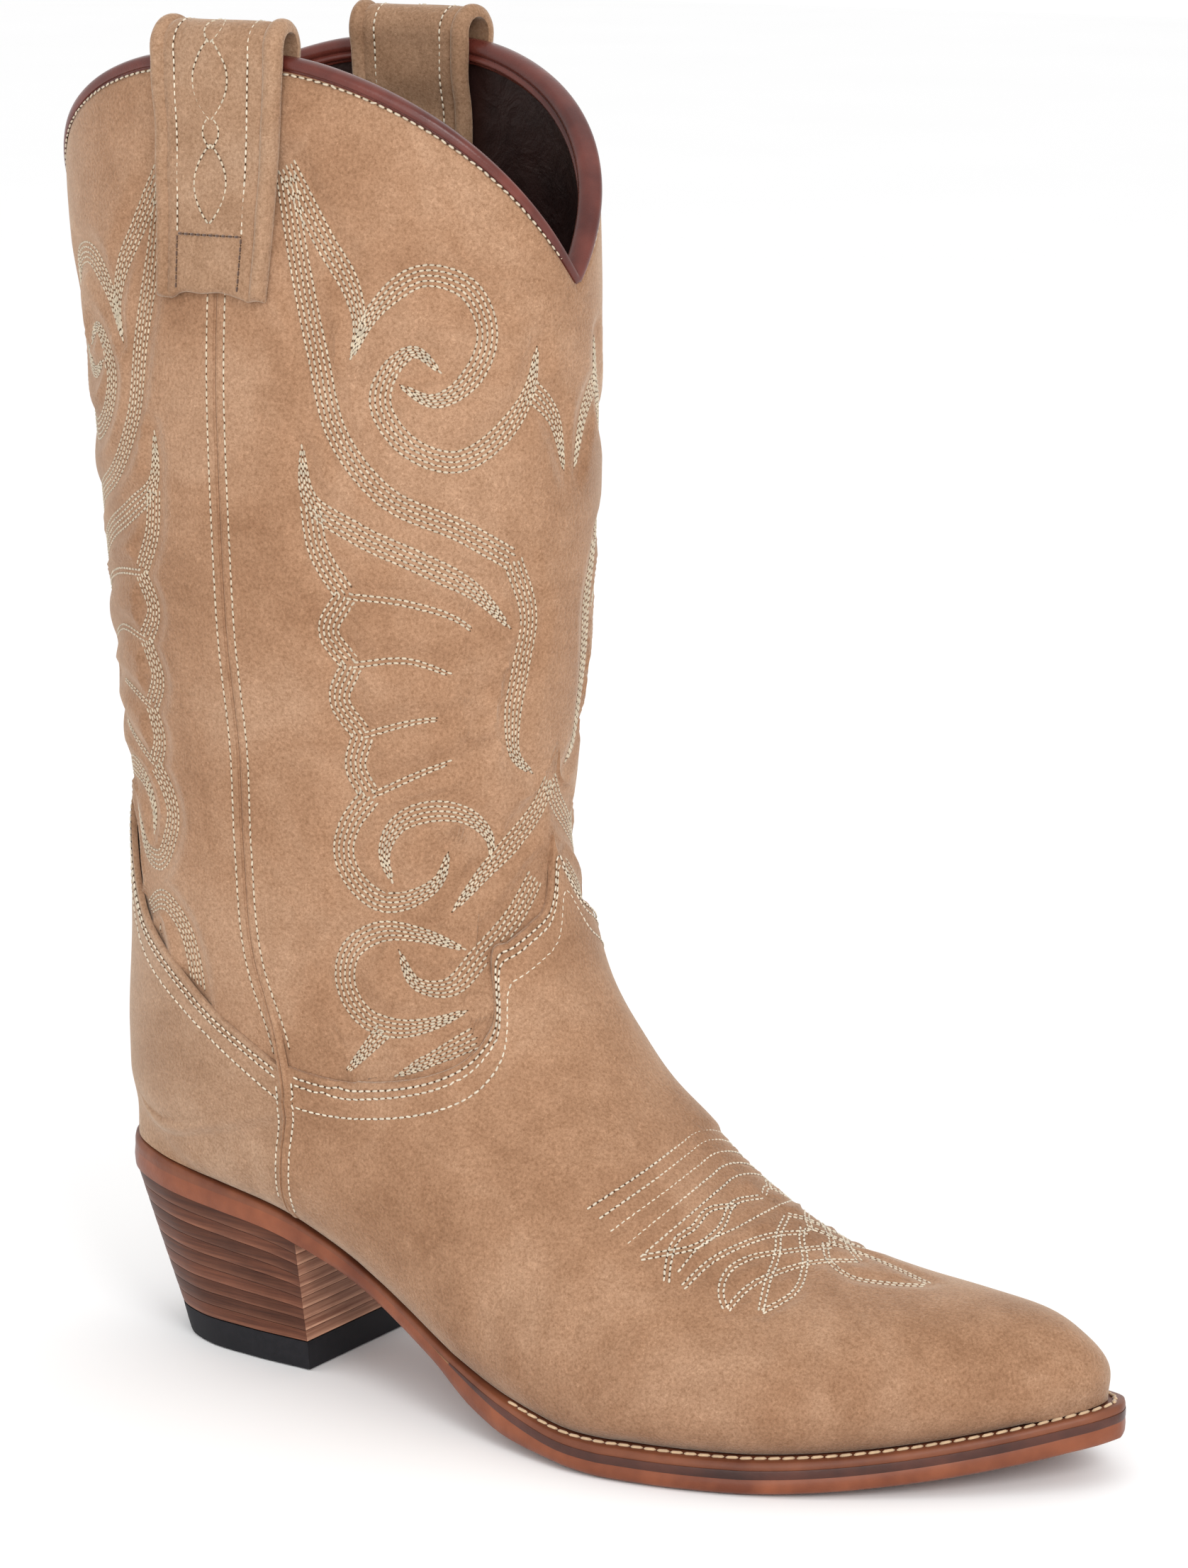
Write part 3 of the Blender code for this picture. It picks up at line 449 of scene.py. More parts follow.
def piece(name, mesh, finish, nodes=(), sharp=None):
    mesh.materials.append(finish)
    mesh.shade_smooth()
    if sharp:
        mesh.set_sharp_from_angle(angle=math.radians(sharp))
    made = bpy.data.objects.new(name, mesh)
    bpy.context.scene.collection.objects.link(made)
    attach(made, BODY)
    if nodes:
        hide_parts(*nodes)
    return made


BODY = next(iter(frame["bodies"]))


def grid_quads(rows, columns, wrap=False):
    number = np.arange(rows * columns).reshape(rows, columns)
    if wrap:
        number = np.hstack([number, number[:, :1]])
    corners = (number[:-1, :-1], number[:-1, 1:], number[1:, 1:], number[1:, :-1])
    return np.stack(corners, -1).reshape(-1, 4)


def turned_out(points, quads, centre):
    """The quads, wound so that the faces look away from the centre."""
    a, b, c = (points[quads[:, i]] for i in range(3))
    facing = (np.cross(b - a, c - b) * (a - centre)).sum(1).sum()
    return quads if facing > 0 else quads[:, ::-1]


def border(grid):
    return np.concatenate([grid[0, :-1], grid[:-1, -1], grid[-1, :0:-1], grid[:0:-1, 0]])


SHEET_RIM = 0.35  # how far a sheet's rounded edge stands out


def sheet_piece(name, outer, inner, finish, slot, nodes=()):
    """A sheet of leather between two grids of points, with its edges rounded over."""
    rows, columns = outer.shape[:2]
    i, j = np.indices((rows, columns))
    neighbour = outer[np.clip(i, 1, rows - 2), np.clip(j, 1, columns - 2)]
    top, low = border(outer), border(inner)
    away = top - border(neighbour)
    away /= np.linalg.norm(away, axis=1, keepdims=True) + 1e-9
    bulge = (top + low) / 2 + SHEET_RIM * away
    count = len(top)
    points = np.concatenate([outer.reshape(-1, 3), inner.reshape(-1, 3), bulge])
    total = rows * columns
    number = np.arange(total).reshape(rows, columns)
    edge = border(number)
    after = np.roll(edge, -1)
    middle_number = 2 * total + np.arange(count)
    middle_after = np.roll(middle_number, -1)
    face = grid_quads(rows, columns)
    quads = np.concatenate([
        face, face[:, ::-1] + total,
        np.stack([after, edge, middle_number, middle_after], -1),
        np.stack([middle_after, middle_number, edge + total, after + total], -1),
    ])
    return piece(name, fast_mesh(name, points, quads), finish, nodes, sharp=50)


# ---------------------------------------------------------------- lines of stitching
THREAD_PITCH = 1.7
THREAD_SHARE = 0.72  # of the pitch that a thread covers; a needle hole lies between two
THREAD_WIDTH = 0.56
THREAD_HEIGHT = 0.5
HOLE_SIZE = (0.5, 0.45, 0.28)
ROW_PITCH = 1.25
BAND_ROWS = 5
BAND_SINK = 0.45  # how far a band of rows sinks into the padded leather
PUFF = 0.8  # how far the leather between the bands stands out
PUFF_REACH = 5.0  # from a band's edge to the full height
POINT_LENGTH = 22.0  # over which a band narrows to a point
LINE_STEP = 0.5  # between the points of a stitched line

# Embroidery of the leg, as (share between the side seam and the front or back centre, station). A curve
# ends in a point where its flag says so: "s" its start, "e" its end.
SCROLLS = (
    ("", ((0.08, 0.85), (0.10, 1.25), (0.13, 1.7), (0.16, 2.1), (0.22, 2.36), (0.32, 2.52), (0.40, 2.68))),
    ("e", ((0.40, 2.68), (0.43, 3.0), (0.42, 3.3), (0.41, 3.7), (0.42, 4.0), (0.46, 4.2))),
    ("e", ((0.08, 0.8), (0.13, 1.15), (0.17, 1.4), (0.18, 1.55), (0.17, 1.72))),
    ("se", ((0.17, 1.72), (0.20, 1.47), (0.26, 1.31), (0.32, 1.38), (0.35, 1.6), (0.33, 1.8), (0.28, 1.91),
            (0.23, 1.82))),
    ("se", ((0.29, 1.78), (0.25, 1.67), (0.22, 1.77), (0.21, 1.9), (0.24, 2.1), (0.31, 2.2), (0.38, 2.07),
            (0.42, 1.87), (0.43, 1.65))),
    ("e", ((0.42, 1.87), (0.46, 2.0), (0.49, 2.3))),
    ("se", ((0.11, 2.12), (0.12, 2.38), (0.18, 2.53), (0.27, 2.68), (0.34, 2.82), (0.40, 3.05))),
    ("", ((0.12, 2.4), (0.13, 2.62), (0.165, 2.84))),
    ("", ((0.165, 2.84), (0.14, 3.04), (0.17, 3.25))),
    ("", ((0.17, 3.25), (0.15, 3.5), (0.18, 3.77))),
    ("", ((0.18, 3.77), (0.168, 4.05), (0.19, 4.32))),
    ("e", ((0.19, 4.32), (0.16, 4.65), (0.15, 5.0), (0.165, 5.35), (0.20, 5.63), (0.25, 5.6), (0.29, 5.38),
           (0.31, 4.98))),
    ("se", ((0.22, 5.4), (0.21, 5.0), (0.23, 4.65), (0.29, 4.49), (0.35, 4.62), (0.38, 4.9), (0.38, 5.2))),
    ("e", ((0.50, 4.3), (0.475, 4.6), (0.43, 4.92), (0.37, 5.3), (0.30, 5.88))),
    ("e", ((0.46, 5.55), (0.40, 6.1), (0.33, 6.55), (0.26, 6.95), (0.22, 6.82), (0.21, 6.3))),
    ("se", ((0.31, 6.45), (0.25, 6.15), (0.19, 6.04), (0.14, 6.27), (0.12, 6.65), (0.13, 7.15), (0.17, 7.38),
            (0.22, 7.42), (0.28, 7.34))),
    ("e", ((0.15, 7.36), (0.12, 7.56), (0.08, 7.85))),
    ("s", ((0.15, 8.14), (0.21, 7.97), (0.28, 7.8))),
)
PETALS = (
    ((0.165, 2.84), (0.25, 2.88), (0.32, 2.98), (0.38, 3.22)),
    ((0.17, 3.25), (0.25, 3.22), (0.30, 3.3), (0.36, 3.45)),
    ((0.18, 3.77), (0.25, 3.66), (0.35, 3.62)),
    ((0.19, 4.32), (0.26, 4.1), (0.37, 3.88)),
)
# Stitching over the toes, as (v, station) on the outer half, mirrored about the ridge at v 0.5.
TOE_ROWS = ((0.355, 11.75), (0.355, 11.95), (0.35, 12.2), (0.35, 12.45), (0.345, 12.7))
TOE_ROW_RISE = 0.74  # stations the rows climb towards the ridge
TOE_ROW_BEND = ((0, 0), (0.5, 0.55), (0.85, 0.91), (1, 1))
TOE_SIXTH_ROW = ((0.355, 13.1), (0.405, 12.8), (0.445, 12.75), (0.485, 12.7))
TOE_LOOPS = (
    ((0.345, 12.7), (0.37, 12.75), (0.395, 12.8), (0.435, 12.65), (0.47, 12.35), (0.5, 12.45)),
    ((0.335, 13.2), (0.365, 12.85), (0.39, 12.6), (0.415, 12.5), (0.445, 12.3), (0.47, 12.4)),
    ((0.34, 13.35), (0.395, 13.1), (0.43, 13.05), (0.465, 13.1), (0.5, 13.35)),
    ((0.34, 13.95), (0.36, 13.65), (0.395, 13.35), (0.42, 13.3), (0.455, 13.45), (0.5, 13.75)),
    ((0.34, 13.95), (0.385, 13.75), (0.435, 13.75), (0.47, 13.9), (0.5, 14.25)),
    ((0.355, 14.25), (0.405, 13.8), (0.45, 13.4), (0.47, 13.15), (0.5, 12.9)),
    ((0.355, 14.25), (0.405, 14.2), (0.455, 13.8), (0.49, 13.3), (0.5, 13.2)),
    ((0.495, 15.4), (0.475, 14.95), (0.465, 14.55), (0.475, 14), (0.5, 13.6)),
)


def along_curve(points):
    """A smooth curve through (v, u) points, as evenly spaced (v, u) and the distances along it."""
    points = np.array(points, float)
    chord = run_length(skin(points[:, 1], points[:, 0]))
    keep = np.r_[True, np.diff(chord) > 1e-6]
    fine = smooth(chord[keep], points[keep], np.linspace(0, chord[-1], max(int(chord[-1] * 4), 8)))
    length = run_length(skin(fine[:, 1], fine[:, 0]))
    at = np.linspace(0, length[-1], max(int(length[-1] / LINE_STEP), 4) + 1)
    return np.c_[np.interp(at, length, fine[:, 0]), np.interp(at, length, fine[:, 1])], at


def moved_sideways(line, distance):
    """(v, u) points moved by distances in millimetres across the line, in the surface."""
    v, u = line[:, 0], line[:, 1]
    du, dv = 5e-3, 1e-3
    by_u = (skin(u + du, v) - skin(u - du, v)) / (2 * du)
    by_v = (skin(u, v + dv) - skin(u, v - dv)) / (2 * dv)
    run = np.gradient(skin(u, v), axis=0)
    side = np.cross(outward(u, v), run)
    side *= (np.asarray(distance) / np.linalg.norm(side, axis=1))[:, None]
    uu, uv, vv = (by_u * by_u).sum(1), (by_u * by_v).sum(1), (by_v * by_v).sum(1)
    a, b = (side * by_u).sum(1), (side * by_v).sum(1)
    free = uu * vv - uv * uv
    return np.c_[v + (b * uu - a * uv) / free, u + (a * vv - b * uv) / free]


def eased(values, rounds):
    """The values along the first axis, smoothed with their neighbours; the ends stay."""
    values = values.copy()
    for _ in range(rounds):
        values[1:-1] += (values[:-2] - 2 * values[1:-1] + values[2:]) / 4
    return values


class Stitching:
    """The rows of one panel: centre-lines that sink the leather, and threads that lie in them."""

    def __init__(self, inside):
        self.inside = inside
        self.rows = []
        self.centres = []
        self.reach = []

    def add(self, points, rows=1, ends="", pitch=THREAD_PITCH):
        """Rows side by side along a curve, which run together at an end named in ends."""
        line, at = along_curve(points)
        taper = np.ones(len(at))
        for end, away in (("s", at), ("e", at[-1] - at)):
            if end in ends:
                taper = np.minimum(taper, np.clip(away / POINT_LENGTH, 0, 1) ** 0.7)
        for number in range(rows):
            sideways = (number - (rows - 1) / 2) * ROW_PITCH
            spread = moved_sideways(line, sideways * taper) if rows > 1 else line
            if abs(sideways) > 0.1:
                spread = spread[taper * abs(sideways) > 0.35]
            if len(spread) > 3:
                self.rows.append((spread, pitch, (number % 2) * 0.5))
        # The single rows along seams and edges, with their longer pitch, don't sink the leather.
        if rows > 1 or pitch == THREAD_PITCH:
            self.centres.append(skin(line[:, 1], line[:, 0]))
            self.reach.append((rows - 1) / 2 * ROW_PITCH * taper + 0.55)

    def finish(self):
        """Makes the centre-lines ready for relief(), once all rows are in."""
        centres = np.concatenate(self.centres)
        self.all_reach = np.concatenate(self.reach)
        self.tree = KDTree(len(centres))
        for i, centre in enumerate(centres):
            self.tree.insert(centre, i)
        self.tree.balance()

    def relief(self, points, wide=PUFF_REACH, sink=BAND_SINK, puff=PUFF):
        """How far the leather stands out at these points."""
        flat = points.reshape(-1, 3)
        away = np.empty(len(flat))
        for i, point in enumerate(flat):
            _, index, distance = self.tree.find(point)
            away[i] = distance - self.all_reach[index]
        return (-sink + (sink + puff) * soft_step(away / wide)).reshape(points.shape[:-1])


CAPSULE = np.array([(-1, .3), (-.62, 1), (.62, 1), (1, .3)])  # (place along a thread, size there)


def thread_mesh(name, centre, run, out, side, size):
    """One merged mesh of short round threads, of a size given as (length, width, height)."""
    length, width, height = (np.broadcast_to(extent, len(centre)) for extent in size)
    rings = []
    for place_along, size in CAPSULE:
        for angle in (0, 90, 180, 270):
            c, s = math.cos(math.radians(angle)), math.sin(math.radians(angle))
            rings.append(
                centre + run * (place_along * length / 2)[:, None]
                + side * (c * size * width / 2)[:, None] + out * (s * size * height / 2)[:, None]
            )
    points = np.stack(rings, 1)
    quads = [(3, 2, 1, 0), (12, 13, 14, 15)]
    for ring in range(3):
        for i in range(4):
            j = (i + 1) % 4
            quads.append((ring * 4 + i, ring * 4 + j, ring * 4 + 4 + j, ring * 4 + 4 + i))
    quads = np.array(quads)[None] + 16 * np.arange(len(centre))[:, None, None]
    return fast_mesh(name, points.reshape(-1, 3), quads.reshape(-1, 4))


def sew(name, stitching, offset, relief, thread):
    """Threads for every row of a panel, and dark blobs at the needle holes: painted shade of the holes."""
    threads, holes, lengths = [], [], []
    for line, pitch, phase in stitching.rows:
        v, u = line[:, 0], line[:, 1]
        points = eased(upper(u, v, np.full(len(u), offset)), 8)
        length = run_length(points)
        count = int(length[-1] / pitch)
        if count < 1:
            continue
        middle = (np.arange(count) + 0.5 + phase * 0.5) * pitch
        middle = middle[middle < length[-1]]
        at = [np.interp(middle, length, w) for w in (v, u)]
        hole_at = [np.interp(middle + pitch / 2, length, w) for w in (v, u)]
        for (vv, uu), kind in ((at, 0), (hole_at, 1)):
            good = stitching.inside(vv, uu)
            vv, uu = vv[good], uu[good]
            if not len(uu):
                continue
            lift = relief(skin(uu, vv))
            normal = outward(uu, vv)
            place_along = middle[good] + kind * pitch / 2
            here = np.stack([np.interp(place_along, length, points[:, i]) for i in range(3)], -1)
            here += normal * lift[:, None]
            slope = np.gradient(points, length, axis=0)
            run = np.stack([np.interp(place_along, length, slope[:, i]) for i in range(3)], -1)
            run = unit(run - normal * (run * normal).sum(1, keepdims=True))
            if kind:
                holes.append((here - normal * 0.04, run, normal))
            else:
                threads.append((here + normal * 0.05, run, normal))
                lengths.append(np.full(len(uu), pitch * THREAD_SHARE))
    middle, run, out = (np.concatenate(parts) for parts in zip(*threads))
    tilt = CHANCE.normal(0, 0.12, len(middle))[:, None]
    side = np.cross(out, run)
    run = run + side * tilt
    side = side - run * tilt
    wide = THREAD_WIDTH * CHANCE.uniform(0.88, 1.12, len(middle))
    size = (np.concatenate(lengths), wide, THREAD_HEIGHT)
    piece(name, thread_mesh(name, middle, run, out, side, size), thread)
    # Dark blobs at the needle holes: painted shade of the holes.
    hole, run, out = (np.concatenate(parts) for parts in zip(*holes))
    mesh = thread_mesh(name + "_holes", hole, run, out, np.cross(out, run), HOLE_SIZE)
    piece(name + "_holes", mesh, HOLE_SHADE)


# ---------------------------------------------------------------- materials
class Finish:
    """A Principled material with a small helper for its nodes."""

    def __init__(self, name, colour, roughness):
        self.made = bpy.data.materials.new(name)
        self.made.use_nodes = True
        self.nodes = self.made.node_tree.nodes
        self.links = self.made.node_tree.links
        self.shader = self.nodes["Principled BSDF"]
        self.shader.inputs["Base Color"].default_value = (*colour, 1)
        self.shader.inputs["Roughness"].default_value = roughness
        self.made.diffuse_color = (*colour, 1)
        self.where = self.nodes.new("ShaderNodeTexCoord").outputs["Object"]

    def set(self, **values):
        for name, value in values.items():
            self.shader.inputs[name.replace("_", " ")].default_value = value
        return self

    def noise(self, scale, detail=3, rough=0.55, stretch=None, distortion=0.0):
        node = self.nodes.new("ShaderNodeTexNoise")
        node.inputs["Scale"].default_value = scale
        node.inputs["Detail"].default_value = detail
        node.inputs["Roughness"].default_value = rough
        node.inputs["Distortion"].default_value = distortion
        where = self.where
        if stretch:
            mapping = self.nodes.new("ShaderNodeMapping")
            mapping.inputs["Scale"].default_value = stretch
            self.links.new(where, mapping.inputs["Vector"])
            where = mapping.outputs["Vector"]
        self.links.new(where, node.inputs["Vector"])
        return node.outputs["Fac"]

    def ramp(self, fac, *stops):
        node = self.nodes.new("ShaderNodeValToRGB")
        bar = node.color_ramp
        while len(bar.elements) < len(stops):
            bar.elements.new(0.5)
        for element, (at, colour) in zip(bar.elements, stops):
            element.position = at
            element.color = (*colour, 1)
        self.links.new(fac, node.inputs["Fac"])
        return node.outputs["Color"]

    def multiply(self, base, tint, share=1.0):
        """The base colour multiplied by a tint, as far as the share says."""
        node = self.nodes.new("ShaderNodeMix")
        node.data_type = "RGBA"
        node.blend_type = "MULTIPLY"
        node.inputs["Factor"].default_value = share
        colours = [socket for socket in node.inputs if socket.type == "RGBA"]
        self.links.new(base, colours[0])
        self.links.new(tint, colours[1])
        return next(socket for socket in node.outputs if socket.type == "RGBA")

    def colour(self, source):
        self.links.new(source, self.shader.inputs["Base Color"])
        return self

    def add(self, a, b, share):
        """a + b times a share."""
        node = self.nodes.new("ShaderNodeMath")
        node.operation = "MULTIPLY_ADD"
        self.links.new(b, node.inputs[0])
        node.inputs[1].default_value = share
        self.links.new(a, node.inputs[2])
        return node.outputs[0]

    def rough(self, fac, low, high):
        node = self.nodes.new("ShaderNodeMapRange")
        node.inputs["To Min"].default_value = low
        node.inputs["To Max"].default_value = high
        self.links.new(fac, node.inputs["Value"])
        self.links.new(node.outputs["Result"], self.shader.inputs["Roughness"])
        return self

    def bump(self, *layers):
        """Layers of (height, strength, millimetres)."""
        normal = None
        for height, strength, distance in layers:
            node = self.nodes.new("ShaderNodeBump")
            node.inputs["Strength"].default_value = strength
            node.inputs["Distance"].default_value = distance / 1000
            self.links.new(height, node.inputs["Height"])
            if normal:
                self.links.new(normal, node.inputs["Normal"])
            normal = node.outputs["Normal"]
        self.links.new(normal, self.shader.inputs["Normal"])
        return self


def make_suede(name, tone=(1, 1, 1)):
    """Short-napped suede: cloudy patches where the nap lies differently, fibres, and a darker band near the
    sole, partly wear and partly painted shade.
    """
    # The tone scales the three colours; the strap's and the counter's copies use it to paint light.
    dark, mid, light = (
        tuple(c * t for c, t in zip(colour, tone))
        for colour in ((0.252, 0.133, 0.073), (0.328, 0.186, 0.109), (0.390, 0.238, 0.149))
    )
    made = Finish(name, mid, 0.95)
    cloud = made.noise(22, 5, 0.62, distortion=0.5)
    smudge = made.noise(120, 4, 0.65)
    fibre = made.noise(1300, 4, 0.75)
    fleck = made.noise(750, 5, 0.85, distortion=1.5)
    grain = made.noise(3600, 2, 0.7)
    base = made.ramp(cloud, (0.3, dark), (0.5, mid), (0.7, light))
    patch = made.ramp(smudge, (0.3, (0.92, 0.90, 0.88)), (0.7, (1.06, 1.06, 1.06)))
    base = made.multiply(base, patch)
    speck = made.ramp(fibre, (0.3, (0.68, 0.62, 0.56)), (0.5, (1.0, 1.0, 1.0)), (0.74, (1.38, 1.40, 1.44)))
    base = made.multiply(base, speck, 0.9)
    flecks = made.ramp(fleck, (0.56, (1.0, 1.0, 1.0)), (0.68, (1.42, 1.48, 1.54)))
    base = made.multiply(base, flecks, 0.8)
    # Darker towards the sole by height: partly rubbed wear, partly painted shade low on the upper.
    height = made.nodes.new("ShaderNodeSeparateXYZ")
    made.links.new(made.where, height.inputs["Vector"])
    above = made.add(height.outputs["Z"], smudge, 0.014)
    low_wear_and_shade = made.ramp(above, (0.019, (0.80, 0.76, 0.74)), (0.046, (1.0, 1.0, 1.0)))
    made.colour(made.multiply(base, low_wear_and_shade))
    made.bump((fibre, 0.7, 0.3), (fleck, 0.35, 0.3), (grain, 0.35, 0.12), (smudge, 0.3, 0.7))
    made.set(Sheen_Weight=0.6, Sheen_Roughness=0.3, Sheen_Tint=(0.95, 0.84, 0.72, 1), Specular_IOR_Level=0.05)
    return made.made


def make_glossy(name, dark, light, rough=(0.24, 0.42), grain=0.35, gloss=0.35):
    made = Finish(name, dark, rough[0])
    tone = made.noise(60, 3, 0.6)
    pores = made.noise(1100, 4, 0.6)
    made.colour(made.ramp(tone, (0.35, dark), (0.7, light)))
    made.rough(made.noise(500, 3, 0.6), *rough)
    made.bump((pores, grain, 0.15))
    return made.set(Coat_Weight=gloss / 4, Coat_Roughness=0.2, Specular_IOR_Level=gloss).made


def make_lining(name):
    made = Finish(name, (0.018, 0.007, 0.006), 0.5)
    tone = made.noise(90, 4, 0.6)
    made.colour(made.ramp(tone, (0.35, (0.012, 0.0045, 0.004)), (0.7, (0.026, 0.011, 0.0095))))
    made.rough(made.noise(260, 4, 0.6), 0.34, 0.55)
    made.bump((made.noise(95, 3, 0.6, distortion=1.2), 0.4, 1.5), (made.noise(420, 4, 0.65), 0.4, 0.35),
              (made.noise(1400, 3, 0.6), 0.3, 0.15))
    return made.set(Specular_IOR_Level=0.3, Specular_Tint=(0.8, 0.65, 0.6, 1)).made


def make_thread(name, colour):
    made = Finish(name, colour, 0.7)
    low = tuple(c * 0.72 for c in colour)
    made.colour(made.ramp(made.noise(420, 2, 0.5), (0.3, low), (0.7, colour)))
    made.bump((made.noise(2600, 2, 0.6), 0.4, 0.08))
    return made.set(Sheen_Weight=0.3, Specular_IOR_Level=0.3).made


# Needle holes are drawn as dark blobs on the leather: painted shade of the holes, not geometry.
def make_hole_shade(name):
    made = Finish(name, (0.06, 0.035, 0.02), 0.95)
    made.colour(made.ramp(made.noise(900, 2, 0.5), (0.3, (0.045, 0.025, 0.015)), (0.7, (0.10, 0.06, 0.035))))
    return made.set(Specular_IOR_Level=0.05).made


def make_stacked(name, dark, light, seed):
    """One lift of the heel: streaks along the edge of the leather, paler towards the joint below."""
    made = Finish(name, dark, 0.36)
    streak = made.noise(120 + seed * 7, 4, 0.6, stretch=(0.25, 0.25, 9))
    blotch = made.noise(55 + seed * 3, 3, 0.6)
    base = made.ramp(streak, (0.3, dark), (0.7, light))
    base = made.multiply(base, made.ramp(blotch, (0.3, (0.72,) * 3), (0.7, (1.18,) * 3)), 0.7)
    drop = made.nodes.new("ShaderNodeAttribute")
    drop.attribute_name = "drop"
    shade = made.ramp(
        drop.outputs["Fac"], (0.0, (0.9, 0.9, 0.9)), (0.5, (0.95, 0.95, 0.95)), (0.75, (1.3, 1.4, 1.45)),
        (0.93, (1.7, 1.95, 2.05)), (1.0, (0.7, 0.65, 0.6)),
    )
    made.colour(made.multiply(base, shade))
    made.rough(streak, 0.32, 0.55)
    made.bump((streak, 0.25, 0.25), (made.noise(1500, 3, 0.6), 0.15, 0.08))
    return made.set(Coat_Weight=0.03, Coat_Roughness=0.3, Specular_IOR_Level=0.14).made


def make_plain(name, dark, light, scale, rough=(0.7, 0.9), metallic=0.0, grain=0.3):
    made = Finish(name, dark, rough[0])
    noise = made.noise(scale, 4, 0.65)
    made.colour(made.ramp(noise, (0.3, dark), (0.7, light)))
    made.rough(noise, *rough)
    made.bump((made.noise(scale * 3, 3, 0.6), grain, 0.12))
    return made.set(Metallic=metallic, Specular_IOR_Level=0.25).made


SUEDE = make_suede("suede_look")
# Lighter, paler copies of the suede for the straps and the counter: painted light, standing in for the
# brighter light on their faces.
SUEDE_STRAP_LIT = make_suede("suede_strap_lit_look", (1.0, 1.07, 1.12))
SUEDE_COUNTER_LIT = make_suede("suede_counter_lit_look", (1.05, 1.13, 1.20))
BINDING = make_glossy("binding_look", (0.070, 0.014, 0.010), (0.15, 0.036, 0.025), (0.22, 0.34), 0.4, 0.32)
LINING_LOOK = make_lining("lining_look")
THREAD = make_thread("cream_thread_look", (0.62, 0.52, 0.38))
THREAD_LIGHT = make_thread("pale_thread_look", (0.72, 0.63, 0.49))
THREAD_DARK = make_thread("brown_thread_look", (0.10, 0.05, 0.03))
THREAD_WELT = make_thread("welt_thread_look", (0.66, 0.47, 0.29))
# Painted shade for the needle holes.
HOLE_SHADE = make_hole_shade("needle_hole_shade_look")
WELT_LOOK = make_glossy("welt_look", (0.112, 0.033, 0.016), (0.205, 0.068, 0.032), (0.36, 0.55), 0.6, 0.24)
SOLE_EDGE = make_glossy("sole_edge_look", (0.135, 0.034, 0.014), (0.25, 0.074, 0.031), (0.32, 0.5), 0.6, 0.28)
DARK_EDGE = make_glossy("burnished_line_look", (0.030, 0.009, 0.006), (0.09, 0.026, 0.015), (0.3, 0.5), 0.5)
SOLE_UNDER = make_plain("sole_underside_look", (0.36, 0.20, 0.10), (0.48, 0.29, 0.16), 45, (0.45, 0.7))
RUBBER = make_plain("heel_rubber_look", (0.006, 0.006, 0.008), (0.014, 0.013, 0.016), 500, (0.6, 0.85))
BREAST = make_stacked("heel_breast_look", (0.21, 0.082, 0.048), (0.46, 0.235, 0.148), 4)
OTHER_LOOKS = {
    "insole_leather": make_plain("insole_look", (0.42, 0.28, 0.16), (0.56, 0.41, 0.26), 120),
    "cork": make_plain("cork_look", (0.25, 0.14, 0.07), (0.52, 0.35, 0.19), 420),
    "steel": make_plain("steel_look", (0.42, 0.42, 0.44), (0.58, 0.58, 0.6), 160, (0.28, 0.45), 1.0, 0.1),
    "stiffener_board": make_plain("board_look", (0.28, 0.2, 0.12), (0.42, 0.31, 0.2), 300),
}


# ---------------------------------------------------------------- the upper's panels
MIDDLE_FACE, COVER_FACE = MIDDLE[1], COVER[1]
FINE_FRONT = np.linspace(0, 1, 165)
FINE_BACK = np.linspace(-1, 1, 150)
FINE_ROWS = 225


def front_rim(share):
    return through(RIM_FRONT, from_ends(share))


def back_rim(share):
    return through(RIM_BACK, np.abs(share))


def vamp_edge(share):
    return through(VAMP_EDGE, from_ends(share))


def counter_edge(share):
    return through(COUNTER_EDGE, np.abs(share))


def front_share(v, u):
    outer, inner = seam(u, False), seam(u, True)
    return np.clip((v - outer) / (inner - outer), 0, 1)


def back_share(v, u):
    outer, inner = seam(u, False), 1 - seam(u, True)
    return np.where(v < 0.5, -v / np.maximum(outer, 1e-6), (1 - v) / np.maximum(inner, 1e-6))


BACK_RAISE = 0.35  # stations


def on_front(points, mirrored):
    table = np.array(points, float)
    share = 1 - table[:, 0] if mirrored else table[:, 0]
    return np.c_[front_place(share, table[:, 1]), table[:, 1]]


def on_back(points, mirrored):
    table = np.array(points, float)
    # The lower scrolls sit higher at the back, above the counter.
    table[:, 1] -= BACK_RAISE * np.clip((table[:, 1] - 4.2) / 1.2, 0, 1)
    share = (1 - 2 * np.minimum(table[:, 0], 0.497)) * (1 if mirrored else -1)
    return np.c_[back_place(share, table[:, 1]), table[:, 1]]


def seam_row(u, inner, forward, distance):
    """(v, u) a distance in front of the side seam, or behind it."""
    line = seam(u, inner)
    sign = (1 if forward else -1) * (-1 if inner else 1)
    return np.c_[line + sign * distance * eased(share_per_mm(u, line), 15), u]


def edge_row(edge, place, shares, distance):
    """(v, u) of a row a distance below an edge, measured down the leather."""
    down = edge(shares) + np.linspace(0, 2.5, 80)[:, None]
    points = skin(down, place(np.broadcast_to(shares, down.shape), down))
    gone = np.cumsum(np.linalg.norm(np.diff(points, axis=0), axis=-1), 0)
    u = np.array([np.interp(distance, gone[:, i], down[1:, i]) for i in range(len(shares))])
    u = eased(u, int(3 + distance))
    return np.c_[place(shares, u), u]


def filled(points):
    """Points at the very back of the heel's edge, where the surface has no normal, from their neighbours."""
    bad = np.isnan(points).any(-1)
    for row in np.flatnonzero(bad.any(1)):
        lost, kept = np.flatnonzero(bad[row]), np.flatnonzero(~bad[row])
        for axis in range(3):
            points[row, lost, axis] = np.interp(lost, kept, points[row, kept, axis])
    return points


CREASE_REACH = 0.45  # stations each side of SEAT, where the leg's surface turns sharply into the foot's


